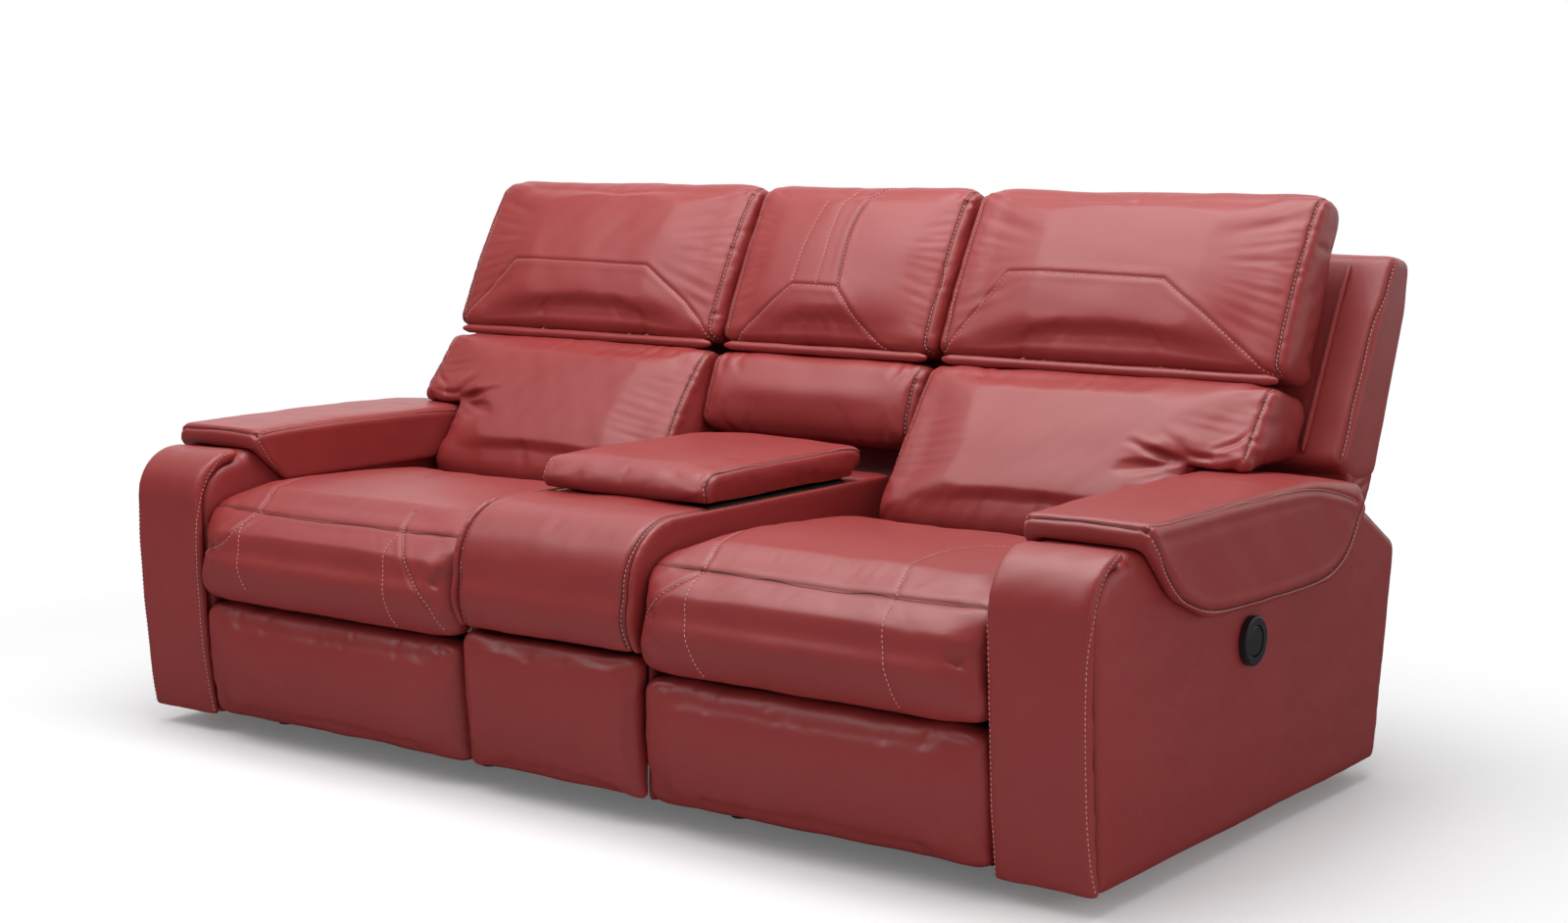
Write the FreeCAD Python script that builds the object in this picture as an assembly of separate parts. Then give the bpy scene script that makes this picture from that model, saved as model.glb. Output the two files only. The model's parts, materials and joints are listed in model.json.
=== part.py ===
"""Three-section reclining sofa: two powered recliners with a storage console between them.

Units are millimetres. +X is to the right of someone facing the sofa, -Y is the side people sit
down from, +Z is up. The origin is on the floor under the middle of the sofa's outer box.
Everything is worked out from the driving dimensions below. Pieces on the right are built once
and mirrored for the left, because the two recliners and the two arms are mirror images.
"""

import FreeCAD, Part
import math
import os

Vector = FreeCAD.Vector

# Driving dimensions: widths
SEAT_W = 640.0
CONSOLE_W = 392.0
ARM_W = 171.0
FIT = 2.0  # gap between a moving or loose piece and its neighbour

# Driving dimensions: heights above the floor
SKIRT_Z = 32.0  # underside of the upholstery
SEAT_SPLIT_Z = 254.0  # line between the footrest pad and the seat front
CONSOLE_SPLIT_Z = 281.0
CONSOLE_TOP_Z = 491.0
LID_TOP_Z = 551.0
ARM_TOP_Z = 516.0
ARM_PAD_TOP_Z = 556.0
SEAT_TOP_Z = 448.0

# Driving dimensions: fore and aft
FRONT_Y = -554.0  # front of the seats at the split line
LID_FRONT_Y = -356.0
LID_REAR_Y = 98.0
SEAT_REAR_Y = 10.0
CENTRE_Y = 12.0  # moves the finished sofa back, so its outer box is centred
REAR_PANEL_Y = 424.0

# Pivots in the side view, as (y, z)
BACK_PIVOT = (255.0, 325.0)
HEADREST_PIVOT = (226.0, 699.0)
LID_PIVOT = (86.0, 500.0)
CONTROL_CENTRE = (-50.0, 325.0)

# Footrest scissor: two equal links; angles run from straight forward towards the floor
LINK_LENGTH = 185.0
LINK_PIVOT = (-390.0, 235.0)
REAR_LINK_CLOSED = 100.0
FRONT_LINK_CLOSED = -60.0

# Where things stand across the sofa
X_CONSOLE = CONSOLE_W / 2
X_ARM_IN = X_CONSOLE + SEAT_W
X_ARM_OUT = X_ARM_IN + ARM_W
X_SEAT_MID = X_CONSOLE + SEAT_W / 2
X_BACK_IN = 250.0  # inner edge of a recliner's back, beside the centre back
X_CUSHION_OUT = 925.0  # back cushions reach out over the arm
X_SHELL_OUT = 1003.0
X_CENTRE_BACK = 243.0

# Steel and board
PLATE = 4.0
LAYER = 5.5  # pitch of the linkage plates across the sofa
PIN_R = 5.0
PIN_CLEARANCE = 0.1
LINK_R = 14.0
RAIL_W = 30.0
RAIL_TOP_Z = 60.0
CROSS_RAIL_Y = (-330.0, 372.0)
BOARD = 18.0
X_RAIL_IN = 262.0
X_RAIL_OUT = 780.0
DRIVE_TUBE_R = 11.0
CRANK_R = 60.0
CRANK_SWING = 47.5  # the crank swings this far each side of straight down

OUT = "parts"
HELD = None  # marks a side that isn't drawn in, because it lies against something flat


# Outlines in the side view

def outline(corners, inset=0.0, crown=1.0):
    """Edges of a rounded outline as lists of (y, z) points: two for a line, three for an arc.

    Each corner is (y, z, radius, bulge), where bulge is how far the side that follows it
    swells outward at its middle. A side whose bulge is HELD is flat and stays where it is.
    inset draws the other sides in, and crown scales the bulges.
    """
    n = len(corners)
    sign = turn_sign(corners)
    normals = side_normals(corners)
    points = drawn_in(corners, inset)
    arcs = []
    for i in range(n):
        before, here, after = points[i - 1], points[i], points[(i + 1) % n]
        u = unit(before, here)
        v = unit(after, here)
        half_turn = (math.pi - math.acos(max(-1.0, min(1.0, u[0] * v[0] + u[1] * v[1])))) / 2
        convex = sign * (u[1] * v[0] - u[0] * v[1]) > 0
        shrunk = max(corners[i][2] - inset, min(corners[i][2], 2.0))
        radius = shrunk if convex else corners[i][2] + inset
        reach = radius * math.tan(half_turn)
        middle = unit((u[0] + v[0], u[1] + v[1]), (0, 0))
        sag = radius / math.cos(half_turn) - radius
        arcs.append(((here[0] + u[0] * reach, here[1] + u[1] * reach),
                     (here[0] + middle[0] * sag, here[1] + middle[1] * sag),
                     (here[0] + v[0] * reach, here[1] + v[1] * reach)))
    edges = []
    for i in range(n):
        edges.append(list(arcs[i]))
        start, end = arcs[i][2], arcs[(i + 1) % n][0]
        bulge = 0.0 if corners[i][3] is HELD else corners[i][3] * crown
        if abs(bulge) < 0.05:
            edges.append([start, end])
        else:
            middle = ((start[0] + end[0]) / 2 + normals[i][0] * bulge,
                      (start[1] + end[1]) / 2 + normals[i][1] * bulge)
            edges.append([start, middle, end])
    return edges


def turn_sign(corners):
    """1 when the corners run anticlockwise, -1 when they run clockwise."""
    n = len(corners)
    area = sum(corners[i][0] * corners[(i + 1) % n][1] - corners[(i + 1) % n][0] * corners[i][1]
               for i in range(n))
    return 1.0 if area > 0 else -1.0


def side_normals(corners):
    """Outward normal of the side after each corner."""
    sign = turn_sign(corners)
    found = []
    for i in range(len(corners)):
        along = unit(corners[(i + 1) % len(corners)], corners[i])
        found.append((sign * along[1], -sign * along[0]))
    return found


def drawn_in(corners, inset):
    """The corner points with every side moved in by inset, except those that are held."""
    normals = side_normals(corners)
    points = []
    for i in range(len(corners)):
        a, b = normals[i - 1], normals[i]
        da = 0.0 if corners[i - 1][3] is HELD else inset
        db = 0.0 if corners[i][3] is HELD else inset
        det = a[0] * b[1] - a[1] * b[0]
        if abs(det) < 1e-6:
            points.append((corners[i][0] - a[0] * da, corners[i][1] - a[1] * da))
        else:
            points.append((corners[i][0] + (db * a[1] - da * b[1]) / det,
                           corners[i][1] + (da * b[0] - db * a[0]) / det))
    return points


def unit(p, origin):
    """Direction from origin to p, of length 1."""
    dy, dz = p[0] - origin[0], p[1] - origin[1]
    length = math.hypot(dy, dz)
    return dy / length, dz / length


def wire(edges, x):
    """A closed wire of an outline's edges, in the plane at x."""
    made = []
    for points in edges:
        spots = [Vector(x, y, z) for y, z in points]
        if len(spots) == 2:
            made.append(Part.makeLine(spots[0], spots[1]))
        else:
            made.append(Part.Arc(spots[0], spots[1], spots[2]).toShape())
    return Part.Wire(made)


def prism(corners, x0, x1, inset=0.0):
    """A plain slab with the outline of the corners, from x0 to x1."""
    face = Part.Face(wire(outline(corners, inset), x0))
    return face.extrude(Vector(x1 - x0, 0, 0))


def sharp(points, radius=0.0):
    """Corners for a plain outline with one radius and flat sides."""
    return [(y, z, radius if radius else 0.5, 0.0) for y, z in points]


# Soft forms

def pillow(corners, x0, x1, draw=12.0, edge=45.0, crown=1.0):
    """A stuffed form: full in the middle, drawn in by draw at both ends, each over edge."""
    middle = (x0 + x1) / 2
    stations = []
    for share in (0.0, 0.14, 0.5, 1.0):
        inset = draw * (1 - math.sqrt(1 - (1 - share) ** 2))
        stations.append((share * edge, inset, 0.35 + 0.45 * share))
    placed = [(x0 + reach, inset, swell) for reach, inset, swell in stations]
    placed.append((middle, 0.0, 1.0))
    placed += [(x1 - reach, inset, swell) for reach, inset, swell in reversed(stations)]
    wires = [wire(outline(corners, inset, crown * swell), x) for x, inset, swell in placed]
    return outward(Part.makeLoft(wires, True, True))


def outward(shape):
    """The same solid with its faces turned outward."""
    solid = shape.Solids[0]
    if solid.Volume < 0:
        solid.reverse()
    return solid


def box(x0, x1, y0, y1, z0, z1):
    return Part.makeBox(x1 - x0, y1 - y0, z1 - z0, Vector(x0, y0, z0))


def rod(x0, x1, centre, radius):
    """A round bar along X."""
    return Part.makeCylinder(radius, x1 - x0, Vector(x0, centre[0], centre[1]), Vector(1, 0, 0))


def mirrored(shape):
    return shape.mirror(Vector(0, 0, 0), Vector(1, 0, 0))


def moved(point, angle, length):
    """The point at length from a pivot, at an angle from straight forward towards the floor."""
    a = math.radians(angle)
    return point[0] - length * math.cos(a), point[1] - length * math.sin(a)


# Saving

nodes = {}


def keep(name, *solids):
    """One node, of one or more separate solids."""
    found = [s for shape in solids for s in shape.Solids]
    nodes[name] = Part.makeCompound(found) if len(found) > 1 else found[0]


def keep_pair(name, *solids):
    """The same piece on both sides of the sofa."""
    keep(name + "_right", *solids)
    keep(name + "_left", *[mirrored(s) for s in solids])


# Arms

ARM_CORNERS = [(-505, SKIRT_Z, 8, 0), (-540, 499, 76, 10), (-431, 499, 3, 0), (-431, ARM_TOP_Z, 3, 0),
               (250, ARM_TOP_Z, 60, 0), (397, 470, 30, 0), (518, 402, 22, 0), (458, SKIRT_Z, 14, 0)]
ARM_WALL = 14.0


def arm_cover():
    """Padded leather cover over the arm's frame, hollow, with the hole for the control."""
    outer = pillow(ARM_CORNERS, X_ARM_IN + FIT, X_ARM_OUT - 1, draw=9, edge=16, crown=1)
    hollow = prism(ARM_CORNERS, X_ARM_IN + FIT + ARM_WALL, X_ARM_OUT - 1 - ARM_WALL, ARM_WALL)
    hole = rod(X_ARM_OUT - 40, X_ARM_OUT + 5, CONTROL_CENTRE, 30.0)
    return outer.cut(hollow).cut(hole)


def arm_frame():
    """Two side boards joined by front, rear and top blocks, inside the cover."""
    inset = ARM_WALL + 2
    x0, x1 = X_ARM_IN + FIT + inset, X_ARM_OUT - 1 - inset
    inner = prism(ARM_CORNERS, x0, x0 + 12, inset)
    outer = prism(ARM_CORNERS, x1 - 12, x1, inset).cut(rod(x1 - 13, x1 + 1, CONTROL_CENTRE, 32.0))
    blocks = [box(x0 + 12, x1 - 12, y, y + 40, SKIRT_Z + inset, z)
              for y, z in ((-480, 420), (-40, 260), (380, 420))]
    rail = box(x0 + 12, x1 - 12, -380, 240, ARM_TOP_Z - inset - 22, ARM_TOP_Z - inset)
    return [inner, outer, rail] + blocks


def arm_front_pad():
    """The padded front of the arm, rolled back over its top."""
    corners = [(-524, SKIRT_Z, 6, 14), (-560, 520, 90, 0), (-450, 520, 2, 0), (-450, 500, 2, 0),
               (-541, 500, 76, -12), (-507, SKIRT_Z, 3, 0)]
    whole = pillow(corners, X_ARM_IN + FIT, X_ARM_OUT - 1, draw=3, edge=12)
    return whole.cut(prism(grow(ARM_CORNERS, 0.5), X_ARM_IN - 5, X_ARM_OUT + 5))


def arm_pad():
    """Saddle-shaped pillow in three pieces: a top, an inner flap and a half-moon outer flap."""
    rest = ARM_TOP_Z + 1.5
    top = [(-430, rest, 4, 0), (-424, ARM_PAD_TOP_Z, 16, 5), (130, ARM_PAD_TOP_Z, 120, 4),
           (304, 532, 18, 0), (322, 496.5, 3, HELD), (256, rest, 12, HELD)]
    over = pillow(top, X_ARM_IN - 18, X_ARM_OUT + 26, draw=9, edge=26)
    outer_flap = [(-424, rest, 3, 0), (-338, 436, 60, 0), (-235, 390, 60, 3), (180, 382, 90, 2),
                  (262, 408, 50, 0), (316, 470, 20, 0), (322, 497, 3, HELD), (256, rest, 10, HELD)]
    outer = pillow(outer_flap, X_ARM_OUT + 1, X_ARM_OUT + 27, draw=6, edge=9).cut(over)
    inner_flap = [(-424, rest, 3, 0), (-352, 452, 12, 0), (150, 452, 20, 0), (150, rest, 3, HELD)]
    inner = pillow(inner_flap, X_ARM_IN - 18, X_ARM_IN - 1, draw=4, edge=6)
    return [over, outer, inner]


def grow(corners, by):
    """Corners of the same outline, by larger all round."""
    return [(y, z, r, b) for (y, z), (_, _, r, b) in zip(drawn_in(corners, -by), corners)]


CONTROL_AXLE_X = X_ARM_OUT + 3.5
CONTROL_AXLE_R = 2.0


def control_axle(reach, radius):
    """A round bar along Y through the control, reach to each side of its centre."""
    start = Vector(CONTROL_AXLE_X, CONTROL_CENTRE[0] - reach, CONTROL_CENTRE[1])
    return Part.makeCylinder(radius, 2 * reach, start, Vector(0, 1, 0))


def control_bezel():
    """Round plastic surround with a socket for the rocker button, and holes for its axle."""
    flange = rod(X_ARM_OUT - 0.5, X_ARM_OUT + 11, CONTROL_CENTRE, 39.0)
    flange = flange.makeFillet(3.0, [e for e in flange.Edges if e.BoundBox.XMin > X_ARM_OUT + 10])
    barrel = rod(X_ARM_OUT - 30, X_ARM_OUT - 0.5, CONTROL_CENTRE, 29.0)
    socket = rod(X_ARM_OUT - 6, X_ARM_OUT + 12, CONTROL_CENTRE, 25.0)
    bezel = flange.fuse(barrel).removeSplitter().cut(socket)
    return bezel.cut(control_axle(30.0, CONTROL_AXLE_R + PIN_CLEARANCE / 2))


def control_button():
    """Rocker disc on its axle: one half lays the seat back, the other brings it up."""
    disc = rod(X_ARM_OUT + 1, X_ARM_OUT + 10, CONTROL_CENTRE, 23.6)
    disc = disc.makeFillet(2.0, [e for e in disc.Edges if e.BoundBox.XMin > X_ARM_OUT + 9])
    return disc.fuse(control_axle(29.0, CONTROL_AXLE_R)).removeSplitter()


# Console between the seats

BIN_X = 150.0
BIN_Y0, BIN_Y1 = -318.0, 62.0
BOX_WALL = 12.0
SIDE_PANEL = 14.0


def console_side_corners():
    return [(-512, SKIRT_Z + 4, 10, 0), (-512, CONSOLE_SPLIT_Z + 2, 3, 0),
            (-551, CONSOLE_SPLIT_Z + 2, 12, 14), (-570, CONSOLE_TOP_Z, 108, 0),
            (168, CONSOLE_TOP_Z, 12, 0), (168, SKIRT_Z + 4, 10, 0)]


def console_side_panels():
    right = pillow(console_side_corners(), X_CONSOLE - SIDE_PANEL, X_CONSOLE, draw=2, edge=5)
    notch = box(X_CONSOLE - 40, X_CONSOLE + 5, CROSS_RAIL_Y[0] - FIT, CROSS_RAIL_Y[0] + RAIL_W + FIT,
                SKIRT_Z - 5, RAIL_TOP_Z + FIT)
    right = right.cut(notch)
    return [right, mirrored(right)]


def console_top_roll():
    """Padding that comes up the front of the console and back over it to the lid."""
    x = X_CONSOLE - SIDE_PANEL - 0.5
    corners = [(-551, CONSOLE_SPLIT_Z + 2, 12, 15), (-572, CONSOLE_TOP_Z + 1, 110, 1),
               (BIN_Y0 - BOX_WALL - 1, CONSOLE_TOP_Z + 1, 6, 0), (BIN_Y0 - BOX_WALL - 1, 462, 3, 0),
               (-500, 462, 60, 0), (-505, CONSOLE_SPLIT_Z + 2, 4, 0)]
    return pillow(corners, -x, x, draw=1.5, edge=14)


def console_rear_block():
    """Padded block behind the lid, under the centre back."""
    x = X_CONSOLE - SIDE_PANEL - 0.5
    corners = [(BIN_Y1 + BOX_WALL + 30, 300, 4, 0), (BIN_Y1 + BOX_WALL + 30, CONSOLE_TOP_Z - 1, 10, 0),
               (190, CONSOLE_TOP_Z - 1, 14, 0), (190, 300, 4, 0)]
    return pillow(corners, -x, x, draw=3, edge=16)


def console_front_pad():
    x = X_CONSOLE - FIT
    corners = [(-529, SKIRT_Z + 5, 9, 14), (-548, CONSOLE_SPLIT_Z - 2, 22, 3),
               (-514, CONSOLE_SPLIT_Z - 2, 4, HELD), (-514, SKIRT_Z + 5, 4, 0)]
    return pillow(corners, -x, x, draw=7, edge=30)


def storage_box():
    """Plywood box under the lid, open at the top."""
    x = X_CONSOLE - SIDE_PANEL - 1
    outer = box(-x, x, BIN_Y0 - BOX_WALL, BIN_Y1 + BOX_WALL, 236, CONSOLE_TOP_Z - 5)
    inner = box(-BIN_X - 4, BIN_X + 4, BIN_Y0, BIN_Y1, 236 + BOX_WALL, CONSOLE_TOP_Z)
    return outer.cut(inner)


def bin_liner():
    """Moulded tub that drops into the box, with a thin rim."""
    wall = 3.0
    z0 = 236 + BOX_WALL + 0.5
    tub = box(-BIN_X - 3, BIN_X + 3, BIN_Y0 + 1, BIN_Y1 - 1, z0, CONSOLE_TOP_Z - 2)
    uprights = [e for e in tub.Edges if abs(e.BoundBox.ZLength) > 50]
    tub = tub.makeFillet(14.0, uprights)
    hollow = box(-BIN_X - 3 + wall, BIN_X + 3 - wall, BIN_Y0 + 1 + wall, BIN_Y1 - 1 - wall,
                 z0 + wall, CONSOLE_TOP_Z + 1)
    hollow = hollow.makeFillet(11.0, [e for e in hollow.Edges if abs(e.BoundBox.ZLength) > 50])
    rim = box(-BIN_X - 12, BIN_X + 12, BIN_Y0 - 8, BIN_Y1 + 6, CONSOLE_TOP_Z - 4.5, CONSOLE_TOP_Z - 2)
    return tub.fuse(rim).cut(hollow).removeSplitter()


LID_X = 184.0
LID_BOARD_Z = (CONSOLE_TOP_Z + 6.5, CONSOLE_TOP_Z + 15.5)
HINGE_R = 5.5
HINGE_PIN_R = 3.0


def knuckle(x0, x1, *leaves):
    """One barrel of the lid's hinge with its leaves, bored for the pin."""
    barrel = rod(x0, x1, LID_PIVOT, HINGE_R).fuse([box(x0, x1, *leaf) for leaf in leaves])
    return barrel.removeSplitter().cut(rod(x0 - 1, x1 + 1, LID_PIVOT, HINGE_PIN_R + PIN_CLEARANCE))


def lid_board():
    """Board under the lid's padding, with its half of the hinge."""
    board = box(-LID_X + 14, LID_X - 14, LID_FRONT_Y + 16, LID_REAR_Y - 26, *LID_BOARD_Z)
    low = LID_PIVOT[1] - 4.5
    leaf = (36, LID_PIVOT[0], low, LID_BOARD_Z[0])
    return [board] + [knuckle(x0, x0 + 48, leaf) for x0 in (-150, -50, 50)]


def lid_hinge():
    """The fixed half of the hinge, with its pin, on the rear wall of the box."""
    wall = BIN_Y1 + BOX_WALL
    low = LID_PIVOT[1] - HINGE_R
    upright = (wall, wall + 3, 455, low + 2.5)
    shelf = (wall, LID_PIVOT[0], low, low + 2.5)
    halves = [knuckle(x0, x0 + 50, upright, shelf) for x0 in (-101, -1, 99)]
    return [rod(-152, 152, LID_PIVOT, HINGE_PIN_R)] + halves


def lid_pad():
    """Padded armrest lid: crowned top, rolled front."""
    corners = [(LID_FRONT_Y, CONSOLE_TOP_Z + 3, 12, 9), (LID_FRONT_Y + 6, LID_TOP_Z, 34, 5),
               (LID_REAR_Y, LID_TOP_Z, 16, 0), (LID_REAR_Y, LID_PIVOT[1] + 10, 6, 0),
               (LID_PIVOT[0] - 12, LID_PIVOT[1] + 10, 2, 0), (LID_PIVOT[0] - 14, CONSOLE_TOP_Z + 3, 2, 0)]
    pad = pillow(corners, -LID_X, LID_X, draw=8, edge=24)
    pocket = box(-LID_X + 13, LID_X - 13, LID_FRONT_Y + 15, LID_REAR_Y, CONSOLE_TOP_Z,
                 LID_BOARD_Z[1] + 0.5)
    return pad.cut(pocket)


# Seats

SEAT_CORNERS = [(-548, SEAT_SPLIT_Z + 4, 12, 17), (-560, SEAT_TOP_Z + 4, 96, 14),
                (SEAT_REAR_Y, SEAT_TOP_Z - 18, 24, 0), (SEAT_REAR_Y, 331, 3, HELD),
                (-500, 331, 4, HELD), (-503, SEAT_SPLIT_Z + 4, 6, 0)]


def seat_cushion():
    whole = pillow(SEAT_CORNERS, X_CONSOLE + FIT, X_ARM_IN - FIT, draw=10, edge=70)
    return whole.cut(box(X_CONSOLE, X_ARM_IN, -499.5, SEAT_REAR_Y + 1, 250, 329.5))


def seat_frame():
    """Four timber rails under the cushion."""
    x0, x1 = X_CONSOLE + 10, X_ARM_IN - 10
    z0, z1 = 262, 329
    front = box(x0, x1, -499, -477, z0, z1)
    rear = box(x0, x1, -12, 10, z0, z1)
    sides = [box(x, x + 22, -477, -12, z0, z1) for x in (x0, x1 - 22)]
    return [front, rear] + sides


def sinuous_spring(x):
    """One zigzag seat spring of round wire, held to the front and rear rails by clips."""
    radius, reach, step = 1.9, 20.0, 22.0
    z = 322.0
    y = -470.0
    turn_r = step / 2
    side = 1.0
    edges = [Part.makeLine(Vector(x, y, z), Vector(x + reach, y, z))]
    while y + step < -16:
        centre_x = x + side * reach
        edges.append(Part.Arc(Vector(centre_x, y, z), Vector(centre_x + side * turn_r, y + turn_r, z),
                              Vector(centre_x, y + step, z)).toShape())
        y += step
        far = x - side * reach if y + step < -16 else x
        edges.append(Part.makeLine(Vector(centre_x, y, z), Vector(far, y, z)))
        side = -side
    path = Part.Wire(edges)
    section = Part.Wire([Part.makeCircle(radius, Vector(x, -470.0, z), Vector(1, 0, 0))])
    wire_form = outward(path.makePipeShell([section], True, False))
    front_clip = box(x - 1, x + 9, -477, -466, z - 4, z + 4)
    rear_clip = box(x - 9, x + 9, y - 4, -12, z - 4, z + 4)
    return wire_form.fuse([front_clip, rear_clip]).removeSplitter()


def seat_springs():
    count = 4
    gap = (SEAT_W - 136) / (count - 1)
    return [sinuous_spring(X_CONSOLE + 68 + i * gap) for i in range(count)]


# Reclining mechanism, one per seat

def link(a, b, x):
    """A flat bar from pivot a to pivot b, holed at a."""
    direction = unit(b, a)
    side = (-direction[1] * LINK_R, direction[0] * LINK_R)
    ends = [(a[0] + side[0], a[1] + side[1]), (b[0] + side[0], b[1] + side[1]),
            (b[0] - side[0], b[1] - side[1]), (a[0] - side[0], a[1] - side[1])]
    face = Part.Face(Part.makePolygon([Vector(x, y, z) for y, z in ends + ends[:1]]))
    bar = face.extrude(Vector(PLATE, 0, 0))
    bar = bar.fuse([rod(x, x + PLATE, a, LINK_R), rod(x, x + PLATE, b, LINK_R)]).removeSplitter()
    return bar.cut(rod(x - 1, x + PLATE + 1, a, PIN_R + PIN_CLEARANCE))


def rivet(x, direction, centre):
    """A stepped pin that stands out of one plate through the next."""
    x0, x1 = (x + PLATE, x + PLATE + LAYER + 0.7) if direction > 0 else (x - LAYER - 0.7, x)
    return rod(x0, x1, centre, PIN_R)


def layers():
    """Each linkage plate's x on the console side and the arm side, and which way is inward."""
    return [(X_RAIL_IN + RAIL_W + 0.5, 1.0), (X_RAIL_OUT - 0.5 - PLATE, -1.0)]


JOINT_2 = moved(LINK_PIVOT, REAR_LINK_CLOSED, LINK_LENGTH)
JOINT_3 = moved(JOINT_2, FRONT_LINK_CLOSED, LINK_LENGTH)


def mechanism_plates():
    """The side plates that carry the back pivot and the footrest links."""
    points = [(-420, 38), (-420, 225), (-404, 252), (-376, 252), (-350, 244), (20, 244), (150, 290),
              (236, 338), (262, 338), (274, 318), (205, 210), (120, 150), (120, 38)]
    solids = []
    for x, inward in layers():
        plate = prism(sharp(points, 4), x, x + PLATE)
        pins = [rivet(x, inward, LINK_PIVOT), rivet(x, inward, BACK_PIVOT)]
        solids.append(plate.fuse(pins))
    return solids


def rear_links():
    """The lower pair of scissor links, the drive tube that joins them, and its crank."""
    made = []
    tube_ends = []
    for x, inward in layers():
        at = x + inward * LAYER
        made.append(link(LINK_PIVOT, JOINT_2, at).fuse(rivet(at, inward, JOINT_2)))
        tube_ends.append(at + PLATE if inward > 0 else at)
    tube = rod(tube_ends[0], tube_ends[1], LINK_PIVOT, DRIVE_TUBE_R)
    for x, inward in layers():
        stub = rod(x - LAYER - 2, x + PLATE + LAYER + 2, LINK_PIVOT, PIN_R + PIN_CLEARANCE)
        tube = tube.cut(stub)
    crank_x = X_SEAT_MID - 4
    pin_at = moved(LINK_PIVOT, 90 + CRANK_SWING, CRANK_R)
    web = link(pin_at, LINK_PIVOT, crank_x).fuse(rod(crank_x, crank_x + PLATE, LINK_PIVOT, 19.0))
    web = web.fuse(rod(crank_x - 16, crank_x + PLATE + 16, pin_at, PIN_R)).removeSplitter()
    return made + [tube, web.cut(rod(crank_x - 1, crank_x + PLATE + 1, LINK_PIVOT, DRIVE_TUBE_R))]


def front_links():
    """The upper pair of scissor links, out to the footrest."""
    solids = []
    for x, inward in layers():
        at = x + inward * 2 * LAYER
        solids.append(link(JOINT_2, JOINT_3, at).fuse(rivet(at, inward, JOINT_3)))
    return solids


FOOT_BOARD_Y = -484.0


def footrest_board():
    """The footrest's plywood, with the steel brackets that its links hold."""
    x0, x1 = X_CONSOLE + 22, X_ARM_IN - 22
    board = box(x0, x1, FOOT_BOARD_Y, FOOT_BOARD_Y + BOARD, 78, 240)
    solids = [board]
    for x, inward in layers():
        at = x + inward * 3 * LAYER
        lug = prism(sharp([(FOOT_BOARD_Y + BOARD, 120), (FOOT_BOARD_Y + BOARD, 236),
                           (JOINT_3[0] + LINK_R, JOINT_3[1] + 4), (JOINT_3[0] + LINK_R, JOINT_3[1] - 14)],
                          3), at, at + PLATE)
        solids.append(lug.cut(rod(at - 1, at + PLATE + 1, JOINT_3, PIN_R + PIN_CLEARANCE)))
    return solids


def footrest_pad():
    corners = [(-529, SKIRT_Z + 5, 24, 14), (-549, SEAT_SPLIT_Z - 3, 24, 5),
               (FOOT_BOARD_Y - 0.5, SEAT_SPLIT_Z - 5, 14, HELD), (FOOT_BOARD_Y - 0.5, SKIRT_Z + 8, 14, 0)]
    return pillow(corners, X_CONSOLE + FIT, X_ARM_IN - FIT, draw=10, edge=55)


ACTUATOR_Z = 128.0
TUBE_HALF = 12.0


def actuator():
    """Gearbox, motor and square guide tube, held to the frame's cross bars."""
    x = X_SEAT_MID - 2
    tube = box(x - TUBE_HALF, x + TUBE_HALF, -446, -70, ACTUATOR_Z - TUBE_HALF, ACTUATOR_Z + TUBE_HALF)
    gearbox = box(x - 36, x + 36, -70, 10, ACTUATOR_Z - 32, ACTUATOR_Z + 32)
    motor = Part.makeCylinder(28, 120, Vector(x + 36, -30, ACTUATOR_Z), Vector(1, 0, 0))
    bars = []
    for y, z in ((-300, ACTUATOR_Z - TUBE_HALF - 10), (20, ACTUATOR_Z)):
        bars.append(box(X_RAIL_IN + RAIL_W + PLATE + 1, X_RAIL_OUT - PLATE - 1,
                        y - 10, y + 10, z - 10, z + 10))
    return [tube, gearbox.fuse(motor)] + bars


def actuator_carriage():
    """Nut block on the guide tube, with a slotted fork round the crank pin."""
    x = X_SEAT_MID - 2
    pin_at = moved(LINK_PIVOT, 90 + CRANK_SWING, CRANK_R)
    y = pin_at[0]
    block = box(x - 24, x + 24, y - 22, y + 22, ACTUATOR_Z - 24, ACTUATOR_Z + 22)
    ears = [box(x0, x0 + 8, y - 16, y + 16, ACTUATOR_Z + 20, 214) for x0 in (x - 16, x + 8)]
    whole = block.fuse(ears)
    clear = TUBE_HALF + 0.5
    whole = whole.cut(box(x - clear, x + clear, y - 30, y + 30, ACTUATOR_Z - clear, ACTUATOR_Z + clear))
    whole = whole.cut(box(x - 20, x + 20, y - 8, y + 8, 165, 205))
    return whole.removeSplitter()


# Backs

SHELL_CORNERS = [(200, 352, 14, 0), (279, 540, 60, 0), (426, 803, 80, 0), (484, 893, 16, 3),
                 (552, 886, 22, 0), (540, 800, 120, 0), (430, 528, 120, 0), (330, 352, 20, 0)]
WING_CORNERS = [(286, 560, 10, 0), (418, 803, 80, 0), (476, 893, 16, 3),
                (552, 886, 22, 0), (540, 800, 120, 0), (424, 522, 22, 0), (336, 524, 10, 0)]
SHELL_WALL = 13.0
LUMBAR_LOW_Z = 561.0  # underside of the lower cushion where it passes over the arm
HEADREST_CORNERS = [(211, 707, 24, 15), (368, 1002, 36, 8), (458, 980, 44, 0), (336, 669, 14, 0)]
LUMBAR_CORNERS = [(58, 384, 24, 4), (16, 446, 60, 5), (203, 697, 34, 0), (336, 656, 14, 0),
                  (196, 372, 14, 0)]


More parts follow.
